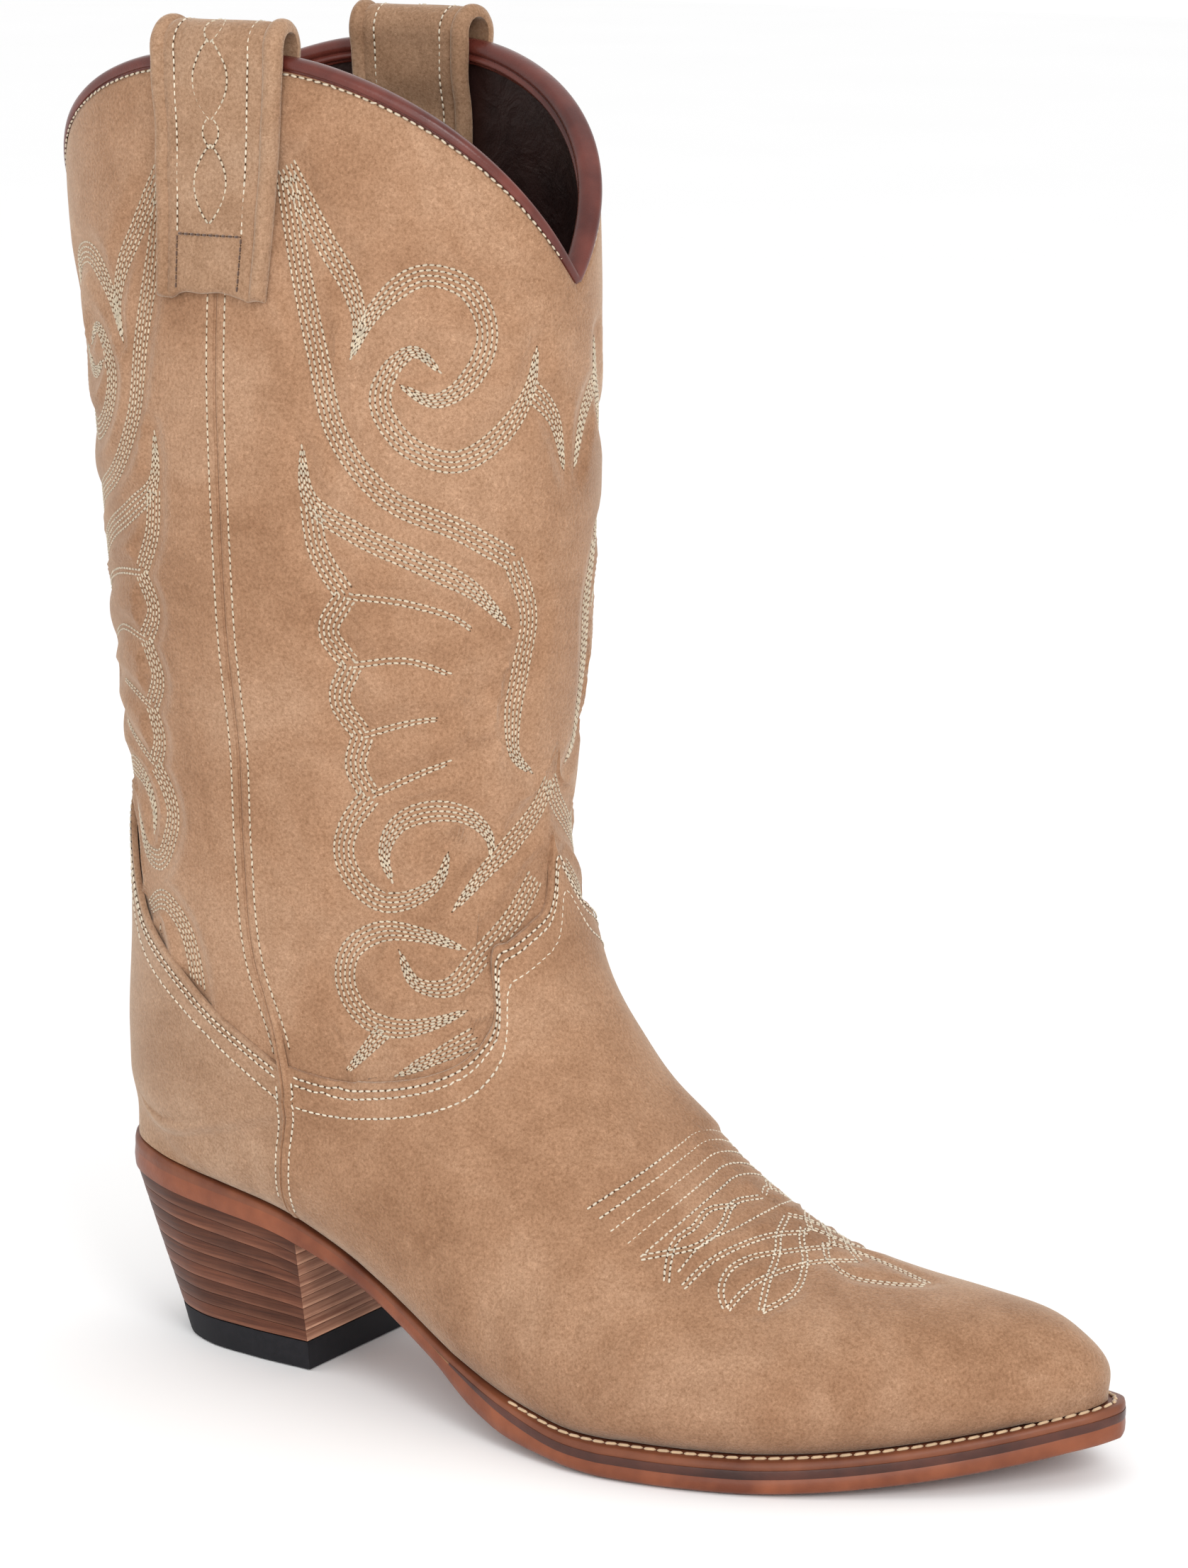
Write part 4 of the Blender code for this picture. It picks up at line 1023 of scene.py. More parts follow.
def without_crease(points, u):
    """Points eased from row to row near the station SEAT."""
    soft = eased(points, 14)
    share = soft_step(1 - np.abs(u - SEAT) / CREASE_REACH)[..., None]
    return points * (1 - share) + soft * share


def follow_edge(panel_sewing, edge, place, shares, distance, pitch):
    """A row along an edge; a row round the back is two, since v starts anew there."""
    row = edge_row(edge, place, shares, distance)
    cut = [0, *(np.flatnonzero(np.abs(np.diff(row[:, 0])) > 0.5) + 1), len(row)]
    for first, last in zip(cut[:-1], cut[1:]):
        panel_sewing.add(row[first:last], pitch=pitch)


def round_the_back(end, count):
    """Back shares from -end to end, with none at 0, where v starts anew."""
    return np.r_[np.linspace(-end, -0.002, count), np.linspace(0.002, end, count)]


SEAM_ROW = 2.6  # from the side seam to the row beside it
EDGE_PITCH = 1.9  # of the threads along seams and edges
LEG_SEAM_ROWS = (0.42, 7.4)  # stations between which the rows beside a seam run
VAMP_SEAM_ROWS = (7.75, 11.45)
COUNTER_SEAM_ROWS = (7.75, 11.2)


def seams_of(panel_sewing, forward, stations):
    u = np.linspace(*stations, 40)
    for inner in (False, True):
        panel_sewing.add(seam_row(u, inner, forward, SEAM_ROW), pitch=EDGE_PITCH)


def embroider(panel_sewing, on_panel):
    for mirrored in (False, True):
        for ends, points in SCROLLS:
            panel_sewing.add(on_panel(points, mirrored), BAND_ROWS, ends)
        for points in PETALS:
            panel_sewing.add(on_panel(points, mirrored), 2, "e")


def rows_between(start, end, count):
    return start[None] + (end - start)[None] * np.linspace(0, 1, count + 1)[:, None]


def make_leg():
    """The quilted front and back panels of the leg."""
    sides_ = (
        ("front", FINE_FRONT, front_place, front_rim, vamp_edge, on_front, front_share, True),
        ("back", FINE_BACK, back_place, back_rim, counter_edge, on_back, back_share, False),
    )
    for name, shares, place, rim_at, edge_at, on_panel, share_of, forward in sides_:
        def inside(v, u, share_of=share_of, rim_at=rim_at, edge_at=edge_at):
            share = share_of(v, u)
            return (u > rim_at(share) + 0.035) & (u < edge_at(share) - 0.02)

        sewing = Stitching(inside)
        embroider(sewing, on_panel)
        seams_of(sewing, forward, LEG_SEAM_ROWS)
        follow_edge(sewing, rim_at, place, shares[::3] if forward else round_the_back(1.0, 50), 2.5, 2.1)
        sewing.finish()
        u = rows_between(rim_at(shares), lowered(edge_at(shares), shares, place, LAP - 1), FINE_ROWS)
        v = place(np.broadcast_to(shares, u.shape), u)
        row = np.arange(FINE_ROWS + 1)
        fade = np.clip(np.minimum(row, row[::-1]) / 4, 0, 1)[:, None]
        outer = upper(u, v, MIDDLE_FACE + sewing.relief(skin(u, v)) * fade)
        inner = upper(u, v, np.full(u.shape, MIDDLE[0] + 0.1))
        sheet_piece("leg_" + name, outer, inner, SUEDE, "suede", ("shaft_" + name,))
        sew("leg_threads_" + name, sewing, MIDDLE_FACE, sewing.relief, THREAD)


def mirrored_half(points):
    """(v, u) points of the foot's other side."""
    return [(1 - v, u) for v, u in points]


def over_ridge(half):
    """A row from the outer side up to the ridge and down the inner side."""
    return [*half, *mirrored_half(half[-2::-1])]


EDGE_ROWS = (1.6, 3.6, 9.2)  # rows below the edges of the vamp and the counter
HUG = 0.3  # the edge of a piece laid over another presses down on it


def make_vamp():
    """The vamp, with its edge rows, the stitching over the toes and soft creases on the instep."""
    sewing = Stitching(lambda v, u: (u < LAST) & (v > 0.002) & (v < 0.998))
    shares = FINE_FRONT
    inner_shares = np.linspace(0.012, 0.988, 240)
    for distance in EDGE_ROWS:
        follow_edge(sewing, vamp_edge, front_place, inner_shares, distance, EDGE_PITCH)
    seams_of(sewing, True, VAMP_SEAM_ROWS)
    for v, u in TOE_ROWS:
        half = [(v + (0.5 - v) * across, u - TOE_ROW_RISE * rise) for across, rise in TOE_ROW_BEND]
        sewing.add(over_ridge(half))
    sewing.add([*TOE_SIXTH_ROW, *mirrored_half(TOE_SIXTH_ROW[::-1])])
    for points in TOE_LOOPS:
        sewing.add(points, 2)
        sewing.add(mirrored_half(points), 2)
    sewing.finish()

    def relief(points):
        return sewing.relief(points, 2.6, 0.4, 0.4)

    rows = FINE_ROWS
    u = rows_between(vamp_edge(shares), np.full(shares.shape, float(LAST)), rows)
    v = front_place(np.broadcast_to(shares, u.shape), u)
    points = skin(u, v)
    # Soft creases that run across the instep above the stitching and behind the ball of the foot.
    x, y, z = np.moveaxis(points, -1, 0)
    crease = np.sin((x * 0.9 - z * 0.4) * 0.22 + 1.5 * np.sin(y * 0.06))
    fade = np.clip((x - 110) / 25, 0, 1) * np.clip((185 - x) / 30, 0, 1)
    lift = relief(points) + 0.25 * crease * fade
    edge_fade = np.clip(np.arange(rows + 1) / 3, 0, 1)[:, None] * height_share(points)
    hug = HUG * np.clip(1 - np.arange(rows + 1) / 6, 0, 1)[:, None]
    outer = without_crease(upper(u, v, COVER_FACE + lift * edge_fade - hug), u)
    inner = without_crease(upper(u, v, COVER[0] - hug + np.zeros(u.shape)), u)
    sheet_piece("vamp_leather", outer, inner, SUEDE, "suede", ("vamp",))
    sew("vamp_threads", sewing, COVER_FACE, relief, THREAD_LIGHT)


def onto_seat(points, u, share):
    """The counter's lower part, led from the heel's curve straight down onto the rand in one sweep."""
    swept = points.copy()
    last = len(points) - 1
    for column in range(points.shape[1]):
        first = max(int(np.searchsorted(u[:, column], 7.3)), 12)
        top, end = points[first, column], points[last, column]
        gap = np.linalg.norm(end - top)
        away = points[first, column] - points[first - 5, column]
        away *= gap / np.linalg.norm(away)
        down = np.array([0.0, 0.0, -gap])
        t = np.linspace(0, 1, last - first + 1)[:, None]
        rise = 3 * t**2 - 2 * t**3
        swept[first:, column] = (
            (1 - rise) * top + rise * end + (t**3 - 2 * t**2 + t) * away + (t**3 - t**2) * down
        )
    weight = soft_step((0.8 - share) / 0.35)[None, :, None]
    return points * (1 - weight) + swept * weight


def make_counter():
    """The cover round the heel, from the leg's back panel down to the rand."""
    sewing = Stitching(lambda _, u: u < LAST)
    shares = FINE_BACK
    inner_shares = round_the_back(0.985, 120)
    for distance in EDGE_ROWS:
        follow_edge(sewing, counter_edge, back_place, inner_shares, distance, EDGE_PITCH)
    seams_of(sewing, False, COUNTER_SEAM_ROWS)
    share = np.abs(shares)
    top = counter_edge(shares)
    bottom_end = SEAM_END - SEAM_CLEARANCE * float(stations_per_mm(SEAM_END, 0.0))
    bottom = SEAT + (bottom_end - SEAT) * share**1.15
    heights = np.linspace(1, 0, 110)[:, None] * np.ones(len(shares))
    u = bottom + (top - bottom) * heights
    seam_u = bottom_end + (JUNCTION - bottom_end) * heights[:, :1]
    sides_v = []
    for inner in (False, True):
        along, at_top, end = (seam(w, inner) for w in (seam_u, top, JUNCTION))
        if inner:
            along, at_top, end = 1 - along, 1 - at_top, 1 - end
        bend = along - heights[:, :1] * end
        clear = SEAM_CLEARANCE * share_per_mm(u, np.clip(along, 0.01, 0.45)) * share**6
        shaped = share * at_top * heights + np.where(heights[:, :1] > 0, share**3 * bend - clear, 0)
        sides_v.append(np.maximum(shaped, 0))
    v = np.where(shares < 0, sides_v[0], 1 - sides_v[1])
    hug = HUG * np.clip(1 - np.arange(len(heights)) / 5, 0, 1)[:, None]
    outer, inner = (
        onto_seat(without_crease(filled(upper(u, v, offset)), u), u, share)
        for offset in (COVER_FACE - hug + np.zeros(u.shape), COVER[0] - hug + np.zeros(u.shape))
    )
    sheet_piece("counter_leather", outer, inner, SUEDE_COUNTER_LIT, "suede", ("counter_cover",))
    sew("counter_threads", sewing, COVER_FACE, lambda points: np.zeros(len(points)), THREAD_LIGHT)


def make_piping():
    """The folded strip that stands in each side seam."""
    u = np.linspace(0.42, SEAM_END - 0.02, 260)
    step_out = np.clip((u - JUNCTION + 0.9) / 0.7, 0, 1) * COVER[1]
    across = np.linspace(-1, 1, 15)
    for name, inner in (("side_piping_outer", False), ("side_piping_inner", True)):
        line = seam(u, inner)
        reach = 1.3 * eased(share_per_mm(u, line), 200)
        v = np.clip(line[:, None] + reach[:, None] * across, 0.0, 1.0)
        grid_u = np.broadcast_to(u[:, None], v.shape)
        fold = 0.45 * np.sqrt(np.clip(1 - across**2, 0, 1)) - 0.6 * np.exp(-((across + 0.15) / 0.14) ** 2)
        high = upper(grid_u, v, 0.15 + step_out[:, None] + fold)
        low = upper(grid_u, v, np.full(v.shape, -0.9) + step_out[:, None])
        sheet_piece(name + "_look", high, low, SUEDE, "suede", (name,))


def make_lining():
    """The lining inside the leg and foot, front and back lengths that meet at the side seams."""
    for name, shares, place, rim_at, nodes in (
        ("front", np.linspace(0, 1, 90), front_place, front_rim, ("shaft_lining_front", "vamp_lining")),
        ("back", np.linspace(-1, 1, 80), back_place, back_rim, ("shaft_lining_back", "heel_lining")),
    ):
        top = rim_at(shares)
        bottom = np.full(shares.shape, float(LAST) if name == "front" else 0.0)
        if name == "back":
            bottom = SEAT + (SEAM_END - SEAT) * np.abs(shares) ** 1.15
        u = rows_between(top, bottom, 190)
        full = lined_to_seam(u, place(np.broadcast_to(shares, u.shape), u))
        points = skin(u, full)
        wrinkle = 0.30 * np.sin(points[..., 2] * 0.16 + 2.2 * np.sin(points[..., 0] * 0.05))
        wrinkle += 0.18 * np.sin(points[..., 0] * 0.31 + points[..., 2] * 0.23 + points[..., 1] * 0.2)
        wrinkle *= np.clip((u - top) / 0.5, 0, 1)
        inner_face = filled(upper(u, full, LINING[0] + 0.25 * wrinkle))
        outer_face = filled(upper(u, full, np.full(u.shape, LINING[1])))
        sheet_piece("lining_" + name, inner_face, outer_face, LINING_LOOK, "lining_leather", nodes)


def lined_to_seam(u, v):
    """Widens a lining sheet by the seam clearance, so that the two lengths meet."""
    grown = v.copy()
    for column, inner in ((0, False), (-1, True)):
        shift = seam(u[:, column], inner) - v[:, column]
        reach = np.clip(1 - np.abs(v - v[:, column][:, None]) / 0.04, 0, 1)
        grown = grown + shift[:, None] * reach
    return np.clip(grown, 0, 1)


# Section of the rolled binding from its outer lower edge over the rim to the inner one, as distances
# (outside the shaft's face, below the rim); a groove on the inner side sets off a fine ridge.
BINDING_PATH = (
    (0.2, 1.6), (0.85, 1.55), (1.2, 1.1), (1.3, 0.3), (1.0, -0.6), (0.1, -1.2), (-1.5, -1.5),
    (-3.1, -1.25), (-4.2, -0.5), (-4.65, 0.6), (-4.55, 1.6), (-4.1, 2.2), (-4.6, 2.7), (-4.8, 3.3),
    (-4.45, 3.9), (-3.7, 4.0),
)


def make_bindings():
    """The leather rolled over the rim, a front length and a back length."""
    section = np.array(BINDING_PATH, float)
    path = smooth(np.arange(len(section)), section, np.linspace(0, len(section) - 1, 46))
    core = np.c_[-1.55 + (path[:, 0] + 1.55) * 0.7, np.maximum(path[:, 1] + 0.8, 0.4)]
    for name, place, shares, rim_at in (
        ("top_binding_front", front_place, np.linspace(0, 1, 300), front_rim),
        ("top_binding_back", back_place, np.linspace(-1, 1, 280), back_rim),
    ):
        u = rim_at(shares)
        v = place(shares, u)
        base, normal = skin(u, v), outward(u, v)
        # Straight across the rim, down the leather.
        down = unit(np.cross(np.gradient(base, axis=0), normal))
        down *= -np.sign(down[:, 2:3])
        grids = [
            base[:, None] + normal[:, None] * line[None, :, :1] + down[:, None] * line[None, :, 1:]
            for line in (path, core)
        ]
        sheet_piece(name + "_look", *grids, BINDING, "binding_leather", (name,))


def strap_path():
    turn = np.radians(np.linspace(20, 160, 7))
    middle_out, middle_z, radius = STRAP_CROWN
    crown = np.c_[middle_out + radius * np.cos(turn), middle_z + radius * np.sin(turn)]
    path = np.vstack([STRAP_LEG_OUT, crown, STRAP_LEG_IN])
    return run_length(path), path


class Strap:
    """The surface of one pull strap, by the distance from its lower outer end and the place across it."""

    def __init__(self, inner):
        self.length, self.path = strap_path()
        self.total = self.length[-1]
        self.table_u = np.linspace(-0.1, 1.6, 12)
        self.table_x = np.linspace(STRAP_X - 24, STRAP_X + 24, 17)
        grid_u, grid_x = np.meshgrid(self.table_u, self.table_x, indexing="ij")
        self.table = place_at_x(grid_u, grid_x, inner)

    def v_at(self, u, x):
        row = np.clip((u - self.table_u[0]) / (self.table_u[1] - self.table_u[0]), 0, 10.999)
        column = np.clip((x - self.table_x[0]) / (self.table_x[1] - self.table_x[0]), 0, 15.999)
        i, j = row.astype(int), column.astype(int)
        a, b = row - i, column - j
        t = self.table
        return ((1 - a) * (1 - b) * t[i, j] + (1 - a) * b * t[i, j + 1]
                + a * (1 - b) * t[i + 1, j] + a * b * t[i + 1, j + 1])

    def at(self, along, across, lift):
        along, across, lift = np.broadcast_arrays(*(np.asarray(w, float) for w in (along, across, lift)))
        centre = smooth(self.length, self.path, along)
        ahead = smooth(self.length, self.path, along + 0.3) - smooth(self.length, self.path, along - 0.3)
        normal = np.stack([ahead[..., 1], -ahead[..., 0]], -1) / np.linalg.norm(ahead, axis=-1)[..., None]
        low_end, top = STRAP_HALF_WIDTH
        half_width = low_end + (top - low_end) * np.interp(centre[..., 1], STRAP_FLARE, (0, 1))
        out = centre[..., 0] + normal[..., 0] * lift
        z = centre[..., 1] + normal[..., 1] * lift
        u = (LEG_TOP - z) / LEG_STEP
        return upper(u, self.v_at(u, STRAP_X + half_width * across), out)


STRAP_GROOVE = 0.76  # where the rolled edge meets the flat middle
STRAP_ROW = 0.57  # share of the half width at which the long rows run
STRAP_THREAD_SIZE = (1.25, 0.55, 0.5)
STRAP_HOLE_SIZE = (0.5, 0.42, 0.3)


def strap_rows(total):
    """Stitch rows of a strap as (along, across, pitch, thread)."""
    rows = []
    for low, high, count, thread in ((15.5, total - 2, 70, THREAD_LIGHT), (1.8, 15, 20, THREAD_DARK)):
        for sign in (-1, 1):
            rows.append((np.linspace(low, high, count), np.full(count, sign * STRAP_ROW), EDGE_PITCH, thread))
    rows.append((np.full(20, 15.2), np.linspace(-STRAP_ROW, STRAP_ROW, 20), EDGE_PITCH, THREAD_DARK))
    # A chain of two long loops and two short ones up the middle.
    for low, high, wide in ((18, 37, 0.27), (36, 44, 0.13), (43, 62, 0.27), (61, 68, 0.13)):
        turn = np.linspace(0, np.pi, 40)
        for sign in (-1, 1):
            bow = sign * wide * np.sin(turn) ** 0.8
            rows.append((low + (high - low) * turn / np.pi, bow, THREAD_PITCH, THREAD))
    return rows


def strap_body(strap, side_name):
    """The ribbon: rolled edges, a flat middle, and a slightly wavy face where it hangs free."""
    across = np.linspace(-1, 1, 61)
    half = STRAP_THICKNESS / 2
    width = np.abs(across)
    groove = np.exp(-((width - STRAP_GROOVE) / 0.03) ** 2)
    rolled = np.sin(np.clip((width - STRAP_GROOVE) / (1 - STRAP_GROOVE), 0, 1) * np.pi) ** 0.8
    profile = 0.9 * rolled - 0.45 * groove - 1.0 * np.clip((width - 0.93) / 0.07, 0, 1) ** 2
    share = np.linspace(0, 1, 150)[:, None]
    # The cut lower end hangs a little lower at the rolled edges than in the middle.
    start = 1.6 - 1.6 * np.clip(width / 0.7, 0, 1) ** 4 + 0.25 * np.sin(across * 9)
    along = start + (strap.total - start) * share
    ends = np.clip(np.minimum(along - start, strap.total - along) / 1.2, 0, 1) ** 0.5
    body = np.clip((along - 12) / 4, 0, 1)
    wave = 0.18 * np.sin(along * 0.31 + across * 2) + 0.12 * np.sin(along * 0.13 - across * 4 + 1)
    high = half + (profile + wave * body) * ends - 0.7 * (1 - ends)
    front = strap.at(along, across, high)
    rear = strap.at(along, across, -half)
    sheet_piece("strap_" + side_name, front, rear, SUEDE_STRAP_LIT, "suede", ("pull_strap_" + side_name,))


def beside_strap(strap):
    """Two short rows on the leg below the strap, as (places, runs, outs)."""
    u = np.linspace(1.47, 1.595, 8)
    lots = []
    for place_x in (-8.9, 8.9):
        v = strap.v_at(u, STRAP_X + place_x)
        base, out = upper(u, v, np.full(len(u), 0.1)), outward(u, v)
        lots.append((base[::2] + out[::2] * 0.1, unit(np.gradient(base, axis=0))[::2], out[::2]))
    return lots


def make_straps():
    half = STRAP_THICKNESS / 2
    for side_name, inner in (("outer", False), ("inner", True)):
        strap = Strap(inner)
        strap_body(strap, side_name)
        threads, holes = {THREAD_DARK: beside_strap(strap)}, []
        for s_at, a_at, pitch, thread in strap_rows(strap.total):
            length = run_length(strap.at(s_at, a_at, half))
            middle = np.arange(pitch / 2, length[-1], pitch)
            for spots, kind in ((middle, 0), (middle + pitch / 2, 1)):
                spots = spots[spots < length[-1] - 0.3]
                here_s, here_a = (np.interp(spots, length, w) for w in (s_at, a_at))
                next_s, next_a = (np.interp(spots + 0.3, length, w) for w in (s_at, a_at))
                here = strap.at(here_s, here_a, half + 0.08)
                run = unit(strap.at(next_s, next_a, half + 0.08) - here)
                out = unit(strap.at(here_s, here_a, half + 0.6) - here)
                if kind:
                    holes.append((here - out * 0.1, run, out))
                else:
                    threads.setdefault(thread, []).append((here, run, out))
        lots = [
            (f"strap_threads_{side_name}_{number}", lot, thread, STRAP_THREAD_SIZE)
            for number, (thread, lot) in enumerate(threads.items())
        ]
        # The hole blobs paint the shade of the needle holes.
        for name, lot, finish, size in (*lots, ("strap_holes_" + side_name, holes, HOLE_SHADE, STRAP_HOLE_SIZE)):
            middle, run, out = (np.concatenate(parts) for parts in zip(*lot))
            piece(name, thread_mesh(name, middle, run, out, np.cross(out, run), size), finish)


# ---------------------------------------------------------------- the bottom
def outline_frame():
    run = np.roll(SOLE, -1, 0) - np.roll(SOLE, 1, 0)
    return np.c_[-run[:, 1], run[:, 0]] / np.linalg.norm(run, axis=1)[:, None]


INWARD = outline_frame()
EDGE_PROFILE = ((0.9, 0.0), (0.25, 0.12), (0.0, 0.45), (0.0, 0.55), (0.25, 0.88), (0.9, 1.0))


def open_joint(x):
    """0 round the heel and waist, where welt and sole are burnished into one edge, 1 round the toe."""
    return np.clip((x - 112) / 30, 0, 1)


def edge_ring(indices, depth_in, low, high, name, finish, nodes=(), stand_out=0.0):
    """A strip round the sole with a rounded outer edge, from its inner low side to its inner high side."""
    outer = SOLE[indices]
    inward = INWARD[indices]
    grids = []
    profile = [(depth_in, 0.0), *EDGE_PROFILE, (depth_in, 1.0)]
    for inset_by, share in profile:
        if inset_by == depth_in:
            step = extension(outer[:, 0]) + depth_in
        else:
            rounded = open_joint(outer[:, 0]) if share < 0.5 else 1.0
            step = inset_by * (0.1 if stand_out else rounded) * np.ones(len(outer)) - stand_out
        flat = outer + inward * step[:, None]
        z = low(flat[:, 0]) * (1 - share) + high(flat[:, 0]) * share
        grids.append(np.c_[flat, z])
    points = np.stack(grids, 1)
    rows, columns = points.shape[:2]
    quads = grid_quads(rows, columns)
    back = np.arange(rows * columns).reshape(rows, columns)
    close = np.stack([back[:-1, -1], back[:-1, 0], back[1:, 0], back[1:, -1]], -1)
    quads = np.concatenate([quads, close])
    return piece(name, fast_mesh(name, points.reshape(-1, 3), quads), finish, nodes, sharp=60)


def ordered(test):
    """Indices of the outline points that pass, in one run."""
    keep = np.flatnonzero(test)
    gap = np.argmax(np.diff(keep))
    return np.r_[keep[gap + 1:], keep[:gap + 1]] if np.diff(keep).max() > 1 else keep


SOLE_SAG = 2.2  # how much lower than the solid the sole is drawn just behind the ball


def sole_bottom(x):
    """The outsole's underside, with a thicker sole just behind the ball than the solid has."""
    return ground(x) - SOLE_SAG * soft_step((x - 112) / 16) * (1 - soft_step((x - 136) / 22))


def make_sole():
    forward = ordered(SOLE[:, 0] > WELT_JOINT - 0.3)
    behind = ordered(SOLE[:, 0] < WELT_JOINT + 0.3)

    def low(x):
        return outsole_top(x) + (GAP * slant(x) + 0.1) * open_joint(x) - 0.1

    edge_ring(forward, UPPER_THICKNESS, low, welt_top, "welt_look", WELT_LOOK, ("welt",))
    edge_ring(behind, UPPER_THICKNESS, low, welt_top, "rand_look", WELT_LOOK, ("heel_rand",))
    # The burnished line along the top of the sole's edge.
    front = ordered(SOLE[:, 0] > 120)

    def line_low(x):
        return outsole_top(x) - 1.0 * open_joint(x)

    def line_high(x):
        return outsole_top(x) + 1.2 * open_joint(x)

    edge_ring(front, 2.0, line_low, line_high, "sole_edge_line", DARK_EDGE, stand_out=0.12)
    make_outsole()
    welt_threads(forward)


def make_outsole():
    """The outsole: a rounded edge, smooth faces between its two sides and a stitching channel below."""
    outer, inner = ribs_fine(260)
    share = np.linspace(0, 1, 27)
    share = share - np.sin(2 * np.pi * share) / (2 * np.pi) * 0.75
    flat = outer[:, None] * (1 - share[None, :, None]) + inner[:, None] * share[None, :, None]
    x = flat[..., 0]
    edge = np.minimum(share, 1 - share)[None] * np.linalg.norm(outer - inner, axis=1)[:, None]
    round_off = 0.9 * (1 - np.clip(edge / 1.4, 0, 1)) ** 2
    channel = 0.35 * np.exp(-((edge - 6.5) / 0.45) ** 2) * (x > 72)
    round_below = round_off * np.clip((x - HEEL_BREAST) / 20, 0, 1)
    low = np.concatenate([flat, (sole_bottom(x) + np.maximum(round_below, channel))[..., None]], -1)
    high = np.concatenate([flat, (outsole_top(x) - round_off * open_joint(x))[..., None]], -1)
    made = sheet_piece("outsole_look", high, low, SOLE_EDGE, "sole_leather", ("outsole",))
    made.data.materials.append(SOLE_UNDER)
    under = np.empty(len(made.data.polygons) * 3, np.float32)
    made.data.polygons.foreach_get("normal", under)
    index = (under.reshape(-1, 3)[:, 2] < -0.8).astype(np.int32)
    made.data.polygons.foreach_set("material_index", index)


def ribs_fine(count, breast=None):
    """Matching points of the sole's outer and inner side, of the whole sole or up to the heel's breast."""
    even = np.linspace(0, 1, count + 1)
    part_way = even - 0.75 * np.sin(2 * np.pi * even) / (2 * np.pi) if breast is None else even**1.3
    matched = []
    for side in sides(SOLE):
        if breast is not None:
            last = np.argmax(side[:, 0] > breast)
            side = np.vstack([side[:last], [breast, np.interp(breast, side[:, 0], side[:, 1])]])
        length = run_length(side)
        at = part_way * length[-1]
        matched.append(np.c_[np.interp(at, length, side[:, 0]), np.interp(at, length, side[:, 1])])
    return matched


WELT_THREAD_START = 139.0
WELT_THREAD_PITCH = 3.4
WELT_THREAD_SIZE = (3.0, 1.15, 0.9)
WELT_THREAD_LIFT = 0.22


def welt_threads(forward):
    """Thick stitches on the welt, from the waist round the toe."""
    line = SOLE[forward] + INWARD[forward] * (0.45 * extension(SOLE[forward, 0]) + 0.5)[:, None]
    line = line[line[:, 0] > WELT_THREAD_START]
    length = run_length(line)
    spot = np.arange(WELT_THREAD_PITCH, length[-1] - WELT_THREAD_PITCH, WELT_THREAD_PITCH)

    def on_welt(distance):
        x, y = (np.interp(distance, length, line[:, axis]) for axis in (0, 1))
        return np.c_[x, y, welt_top(x) + WELT_THREAD_LIFT]

    run = unit(on_welt(spot + 0.6) - on_welt(spot - 0.6))
    up = np.tile([0.0, 0, 1.0], (len(spot), 1))
    up -= run * (up * run).sum(1, keepdims=True)
    side = np.cross(up, run)
    mesh = thread_mesh("welt_threads", on_welt(spot), run + side * 0.12, up, side, WELT_THREAD_SIZE)
    piece("welt_threads", mesh, THREAD_WELT)


def heel_section(level):
    """The heel's two sides at a level, 0 at the seat and 1 at the top piece's upper face."""
    outer, inner = ribs_fine(64, HEEL_BREAST)
    shaped = []
    for side in (outer, inner):
        x = HEEL_BREAST - (HEEL_BREAST - side[:, 0] - HEEL_SETBACK) * (1 - HEEL_TAPER_X * level)
        shaped.append(np.c_[np.minimum(x, HEEL_BREAST), side[:, 1] * (HEEL_WIDTH - HEEL_TAPER_Y * level)])
    return shaped


# A layer's edge, as (share of the way down, share of the bulge).
LAYER_PROFILE = ((0.0, 0.0), (0.12, 0.75), (0.5, 1.0), (0.75, 1.0), (0.9, 0.75), (1.0, 0.0))
LAYER_BULGE = 0.12
HEEL_CENTRE = (35.0, 0.0)


def heel_layer(name, top, bottom, finish, breast_finish, node):
    """One layer with a slightly rounded edge, from its upper (level, height) to its lower."""
    rings = []
    for share, grow in LAYER_PROFILE:
        level = top[0] * (1 - share) + bottom[0] * share
        outer, inner = heel_section(level)
        ring = np.vstack([outer, inner[::-1][:-1]])
        ring = ring + unit(ring - HEEL_CENTRE) * (LAYER_BULGE * grow - 0.10)
        ring[:, 0] = np.minimum(ring[:, 0], HEEL_BREAST + 0.15 * grow)
        z = top[1](ring[:, 0]) * (1 - share) + bottom[1](ring[:, 0]) * share
        rings.append(np.c_[ring, z])
    points = np.stack(rings)
    count = points.shape[1]
    quads = grid_quads(len(rings), count, wrap=True)
    caps = []
    for ring, flip in ((0, False), (len(rings) - 1, True)):
        half = count // 2
        for i in range(half):
            face = [ring * count + i, ring * count + (i + 1), ring * count + (count - i - 1) % count,
                    ring * count + (count - i) % count]
            caps.append(face[::-1] if flip else face)
    caps = [c for c in caps if len(set(c)) == 4]
    quads = np.concatenate([quads, np.array(caps)])
    points = points.reshape(-1, 3)
    quads = turned_out(points, quads, points.mean(0))
    made = piece(name, fast_mesh(name, points, quads), finish, (node,), sharp=50)
    made.data.materials.append(breast_finish)
    polygons = made.data.polygons
    normals = np.empty(len(polygons) * 3, np.float32)
    polygons.foreach_get("normal", normals)
    polygons.foreach_set("material_index", (normals[::3] > 0.85).astype(np.int32))
    # How far down the layer each point is, for the shading of its edge.
    drop = made.data.attributes.new("drop", "FLOAT", "POINT")
    drop.data.foreach_set("value", np.repeat([share for share, _ in LAYER_PROFILE], count).astype(np.float32))


LIFT_TONES = (0.85, 1.15, 0.75, 1.1, 0.85, 1.25, 0.9, 0.75, 1.2)


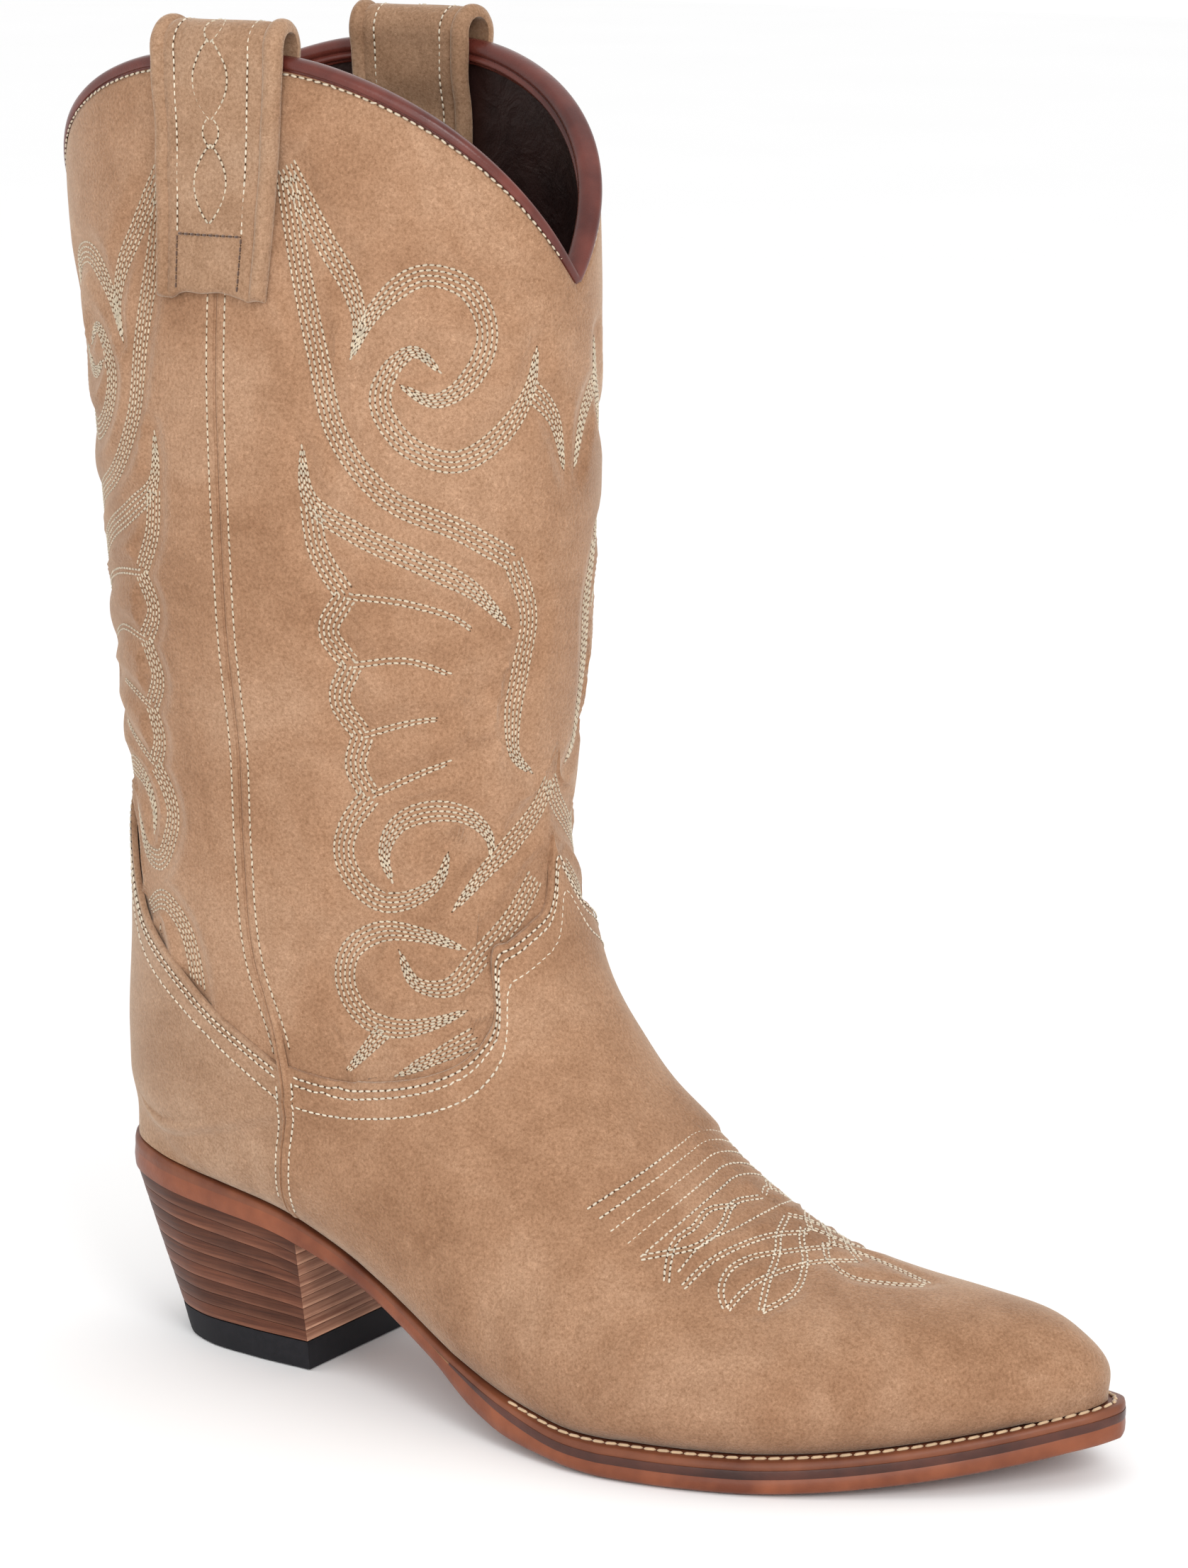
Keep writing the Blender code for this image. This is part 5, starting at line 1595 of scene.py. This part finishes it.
def make_heel():
    """The nine leather lifts and the rubber top piece; each lift is a little lighter or darker."""
    base = HEEL_BASE + GAP

    def height(level, drop=0.0):
        return lambda x: (ground(x) - GAP) * (1 - level) + base * level - drop

    for number, tone in enumerate(LIFT_TONES):
        dark = tuple(c * tone for c in (0.064, 0.021, 0.012))
        light = tuple(c * tone for c in (0.135, 0.048, 0.026))
        finish = make_stacked(f"heel_lift_{number + 1}_look", dark, light, number)
        top, bottom = number / HEEL_LIFTS, (number + 1) / HEEL_LIFTS
        heel_layer(f"lift_look_{number + 1}", (top, height(top, GAP * 0.3 * (number > 0))),
                   (bottom, height(bottom)), finish, BREAST, f"heel_lift_{number + 1}")
    heel_layer("top_piece_look", (1.0, lambda x: np.full_like(x, HEEL_BASE)),
               (TOP_PIECE_LEVEL, lambda x: np.zeros_like(x)), RUBBER, RUBBER, "heel_top_piece")


# ---------------------------------------------------------------- camera, light and floor
CAMERA_PIVOT = (60.0, 0.0)
CAMERA_AZIMUTH, CAMERA_DISTANCE, CAMERA_HEIGHT = 35.368, 1200.219, 405.766
CAMERA_YAW, CAMERA_PITCH = -3.081, 12.102
CAMERA_LENS = 110.24


def make_camera():
    azimuth = math.radians(CAMERA_AZIMUTH)
    spot = np.array([CAMERA_PIVOT[0] + CAMERA_DISTANCE * math.sin(azimuth),
                     CAMERA_PIVOT[1] - CAMERA_DISTANCE * math.cos(azimuth), CAMERA_HEIGHT])
    heading = azimuth + math.radians(CAMERA_YAW)
    pitch = math.radians(CAMERA_PITCH)
    level = math.cos(pitch)
    look = Vector((-math.sin(heading) * level, math.cos(heading) * level, -math.sin(pitch)))
    data = bpy.data.cameras.new("camera")
    data.lens, data.sensor_width = CAMERA_LENS, 36.0
    data.clip_start, data.clip_end = 0.05, 50
    camera = bpy.data.objects.new("camera", data)
    bpy.context.scene.collection.objects.link(camera)
    camera.rotation_mode = "QUATERNION"
    camera.location = to_row(spot)
    camera.rotation_quaternion = look.to_track_quat("-Z", "Y")
    bpy.context.scene.camera = camera


def add_light(name, spot, target, size, power):
    data = bpy.data.lights.new(name, "AREA")
    data.shape, data.size, data.energy = "SQUARE", size, power
    light = bpy.data.objects.new(name, data)
    bpy.context.scene.collection.objects.link(light)
    light.location = spot
    light.rotation_mode = "QUATERNION"
    light.rotation_quaternion = (Vector(target) - Vector(spot)).to_track_quat("-Z", "Y")


def make_stage():
    world = bpy.data.worlds.new("studio")
    world.use_nodes = True
    world.node_tree.nodes["Background"].inputs["Color"].default_value = (1, 1, 1, 1)
    world.node_tree.nodes["Background"].inputs["Strength"].default_value = 1.03
    bpy.context.scene.world = world
    bpy.context.scene.view_settings.view_transform = "Standard"
    mesh = bpy.data.meshes.new("floor")
    mesh.from_pydata([(-6, -6, 0), (6, -6, 0), (6, 6, 0), (-6, 6, 0)], [], [(0, 1, 2, 3)])
    pale = Finish("floor_look", (0.96, 0.96, 0.96), 0.9)
    pale.colour(pale.ramp(pale.noise(3, 2, 0.5), (0.3, (0.955, 0.955, 0.955)), (0.7, (0.965, 0.965, 0.965))))
    mesh.materials.append(pale.set(Specular_IOR_Level=0.05).made)
    floor = bpy.data.objects.new("floor", mesh)
    bpy.context.scene.collection.objects.link(floor)
    floor.location = (0, 0, -0.0004)
    add_light("key", (1.35, -1.0, 1.1), (0, 0, 0.15), 0.7, 12)
    add_light("fill", (0.65, -1.5, 0.5), (0, 0, 0.15), 1.0, 7)
    add_light("top", (0.1, 0.2, 1.6), (0, 0, 0.15), 1.0, 1)


def dress_hidden_nodes():
    for subpart in frame["record"]["subparts"]:
        finish = OTHER_LOOKS.get(subpart["material_slot"])
        node = frame["nodes"][subpart["node"]]
        if subpart["material_slot"] == "lining_leather":
            finish = LINING_LOOK
        if finish and not node.hide_render:
            node.data.materials.clear()
            node.data.materials.append(finish)


make_leg()
make_vamp()
make_counter()
make_piping()
make_lining()
make_bindings()
make_straps()
make_sole()
make_heel()
dress_hidden_nodes()
make_camera()
make_stage()
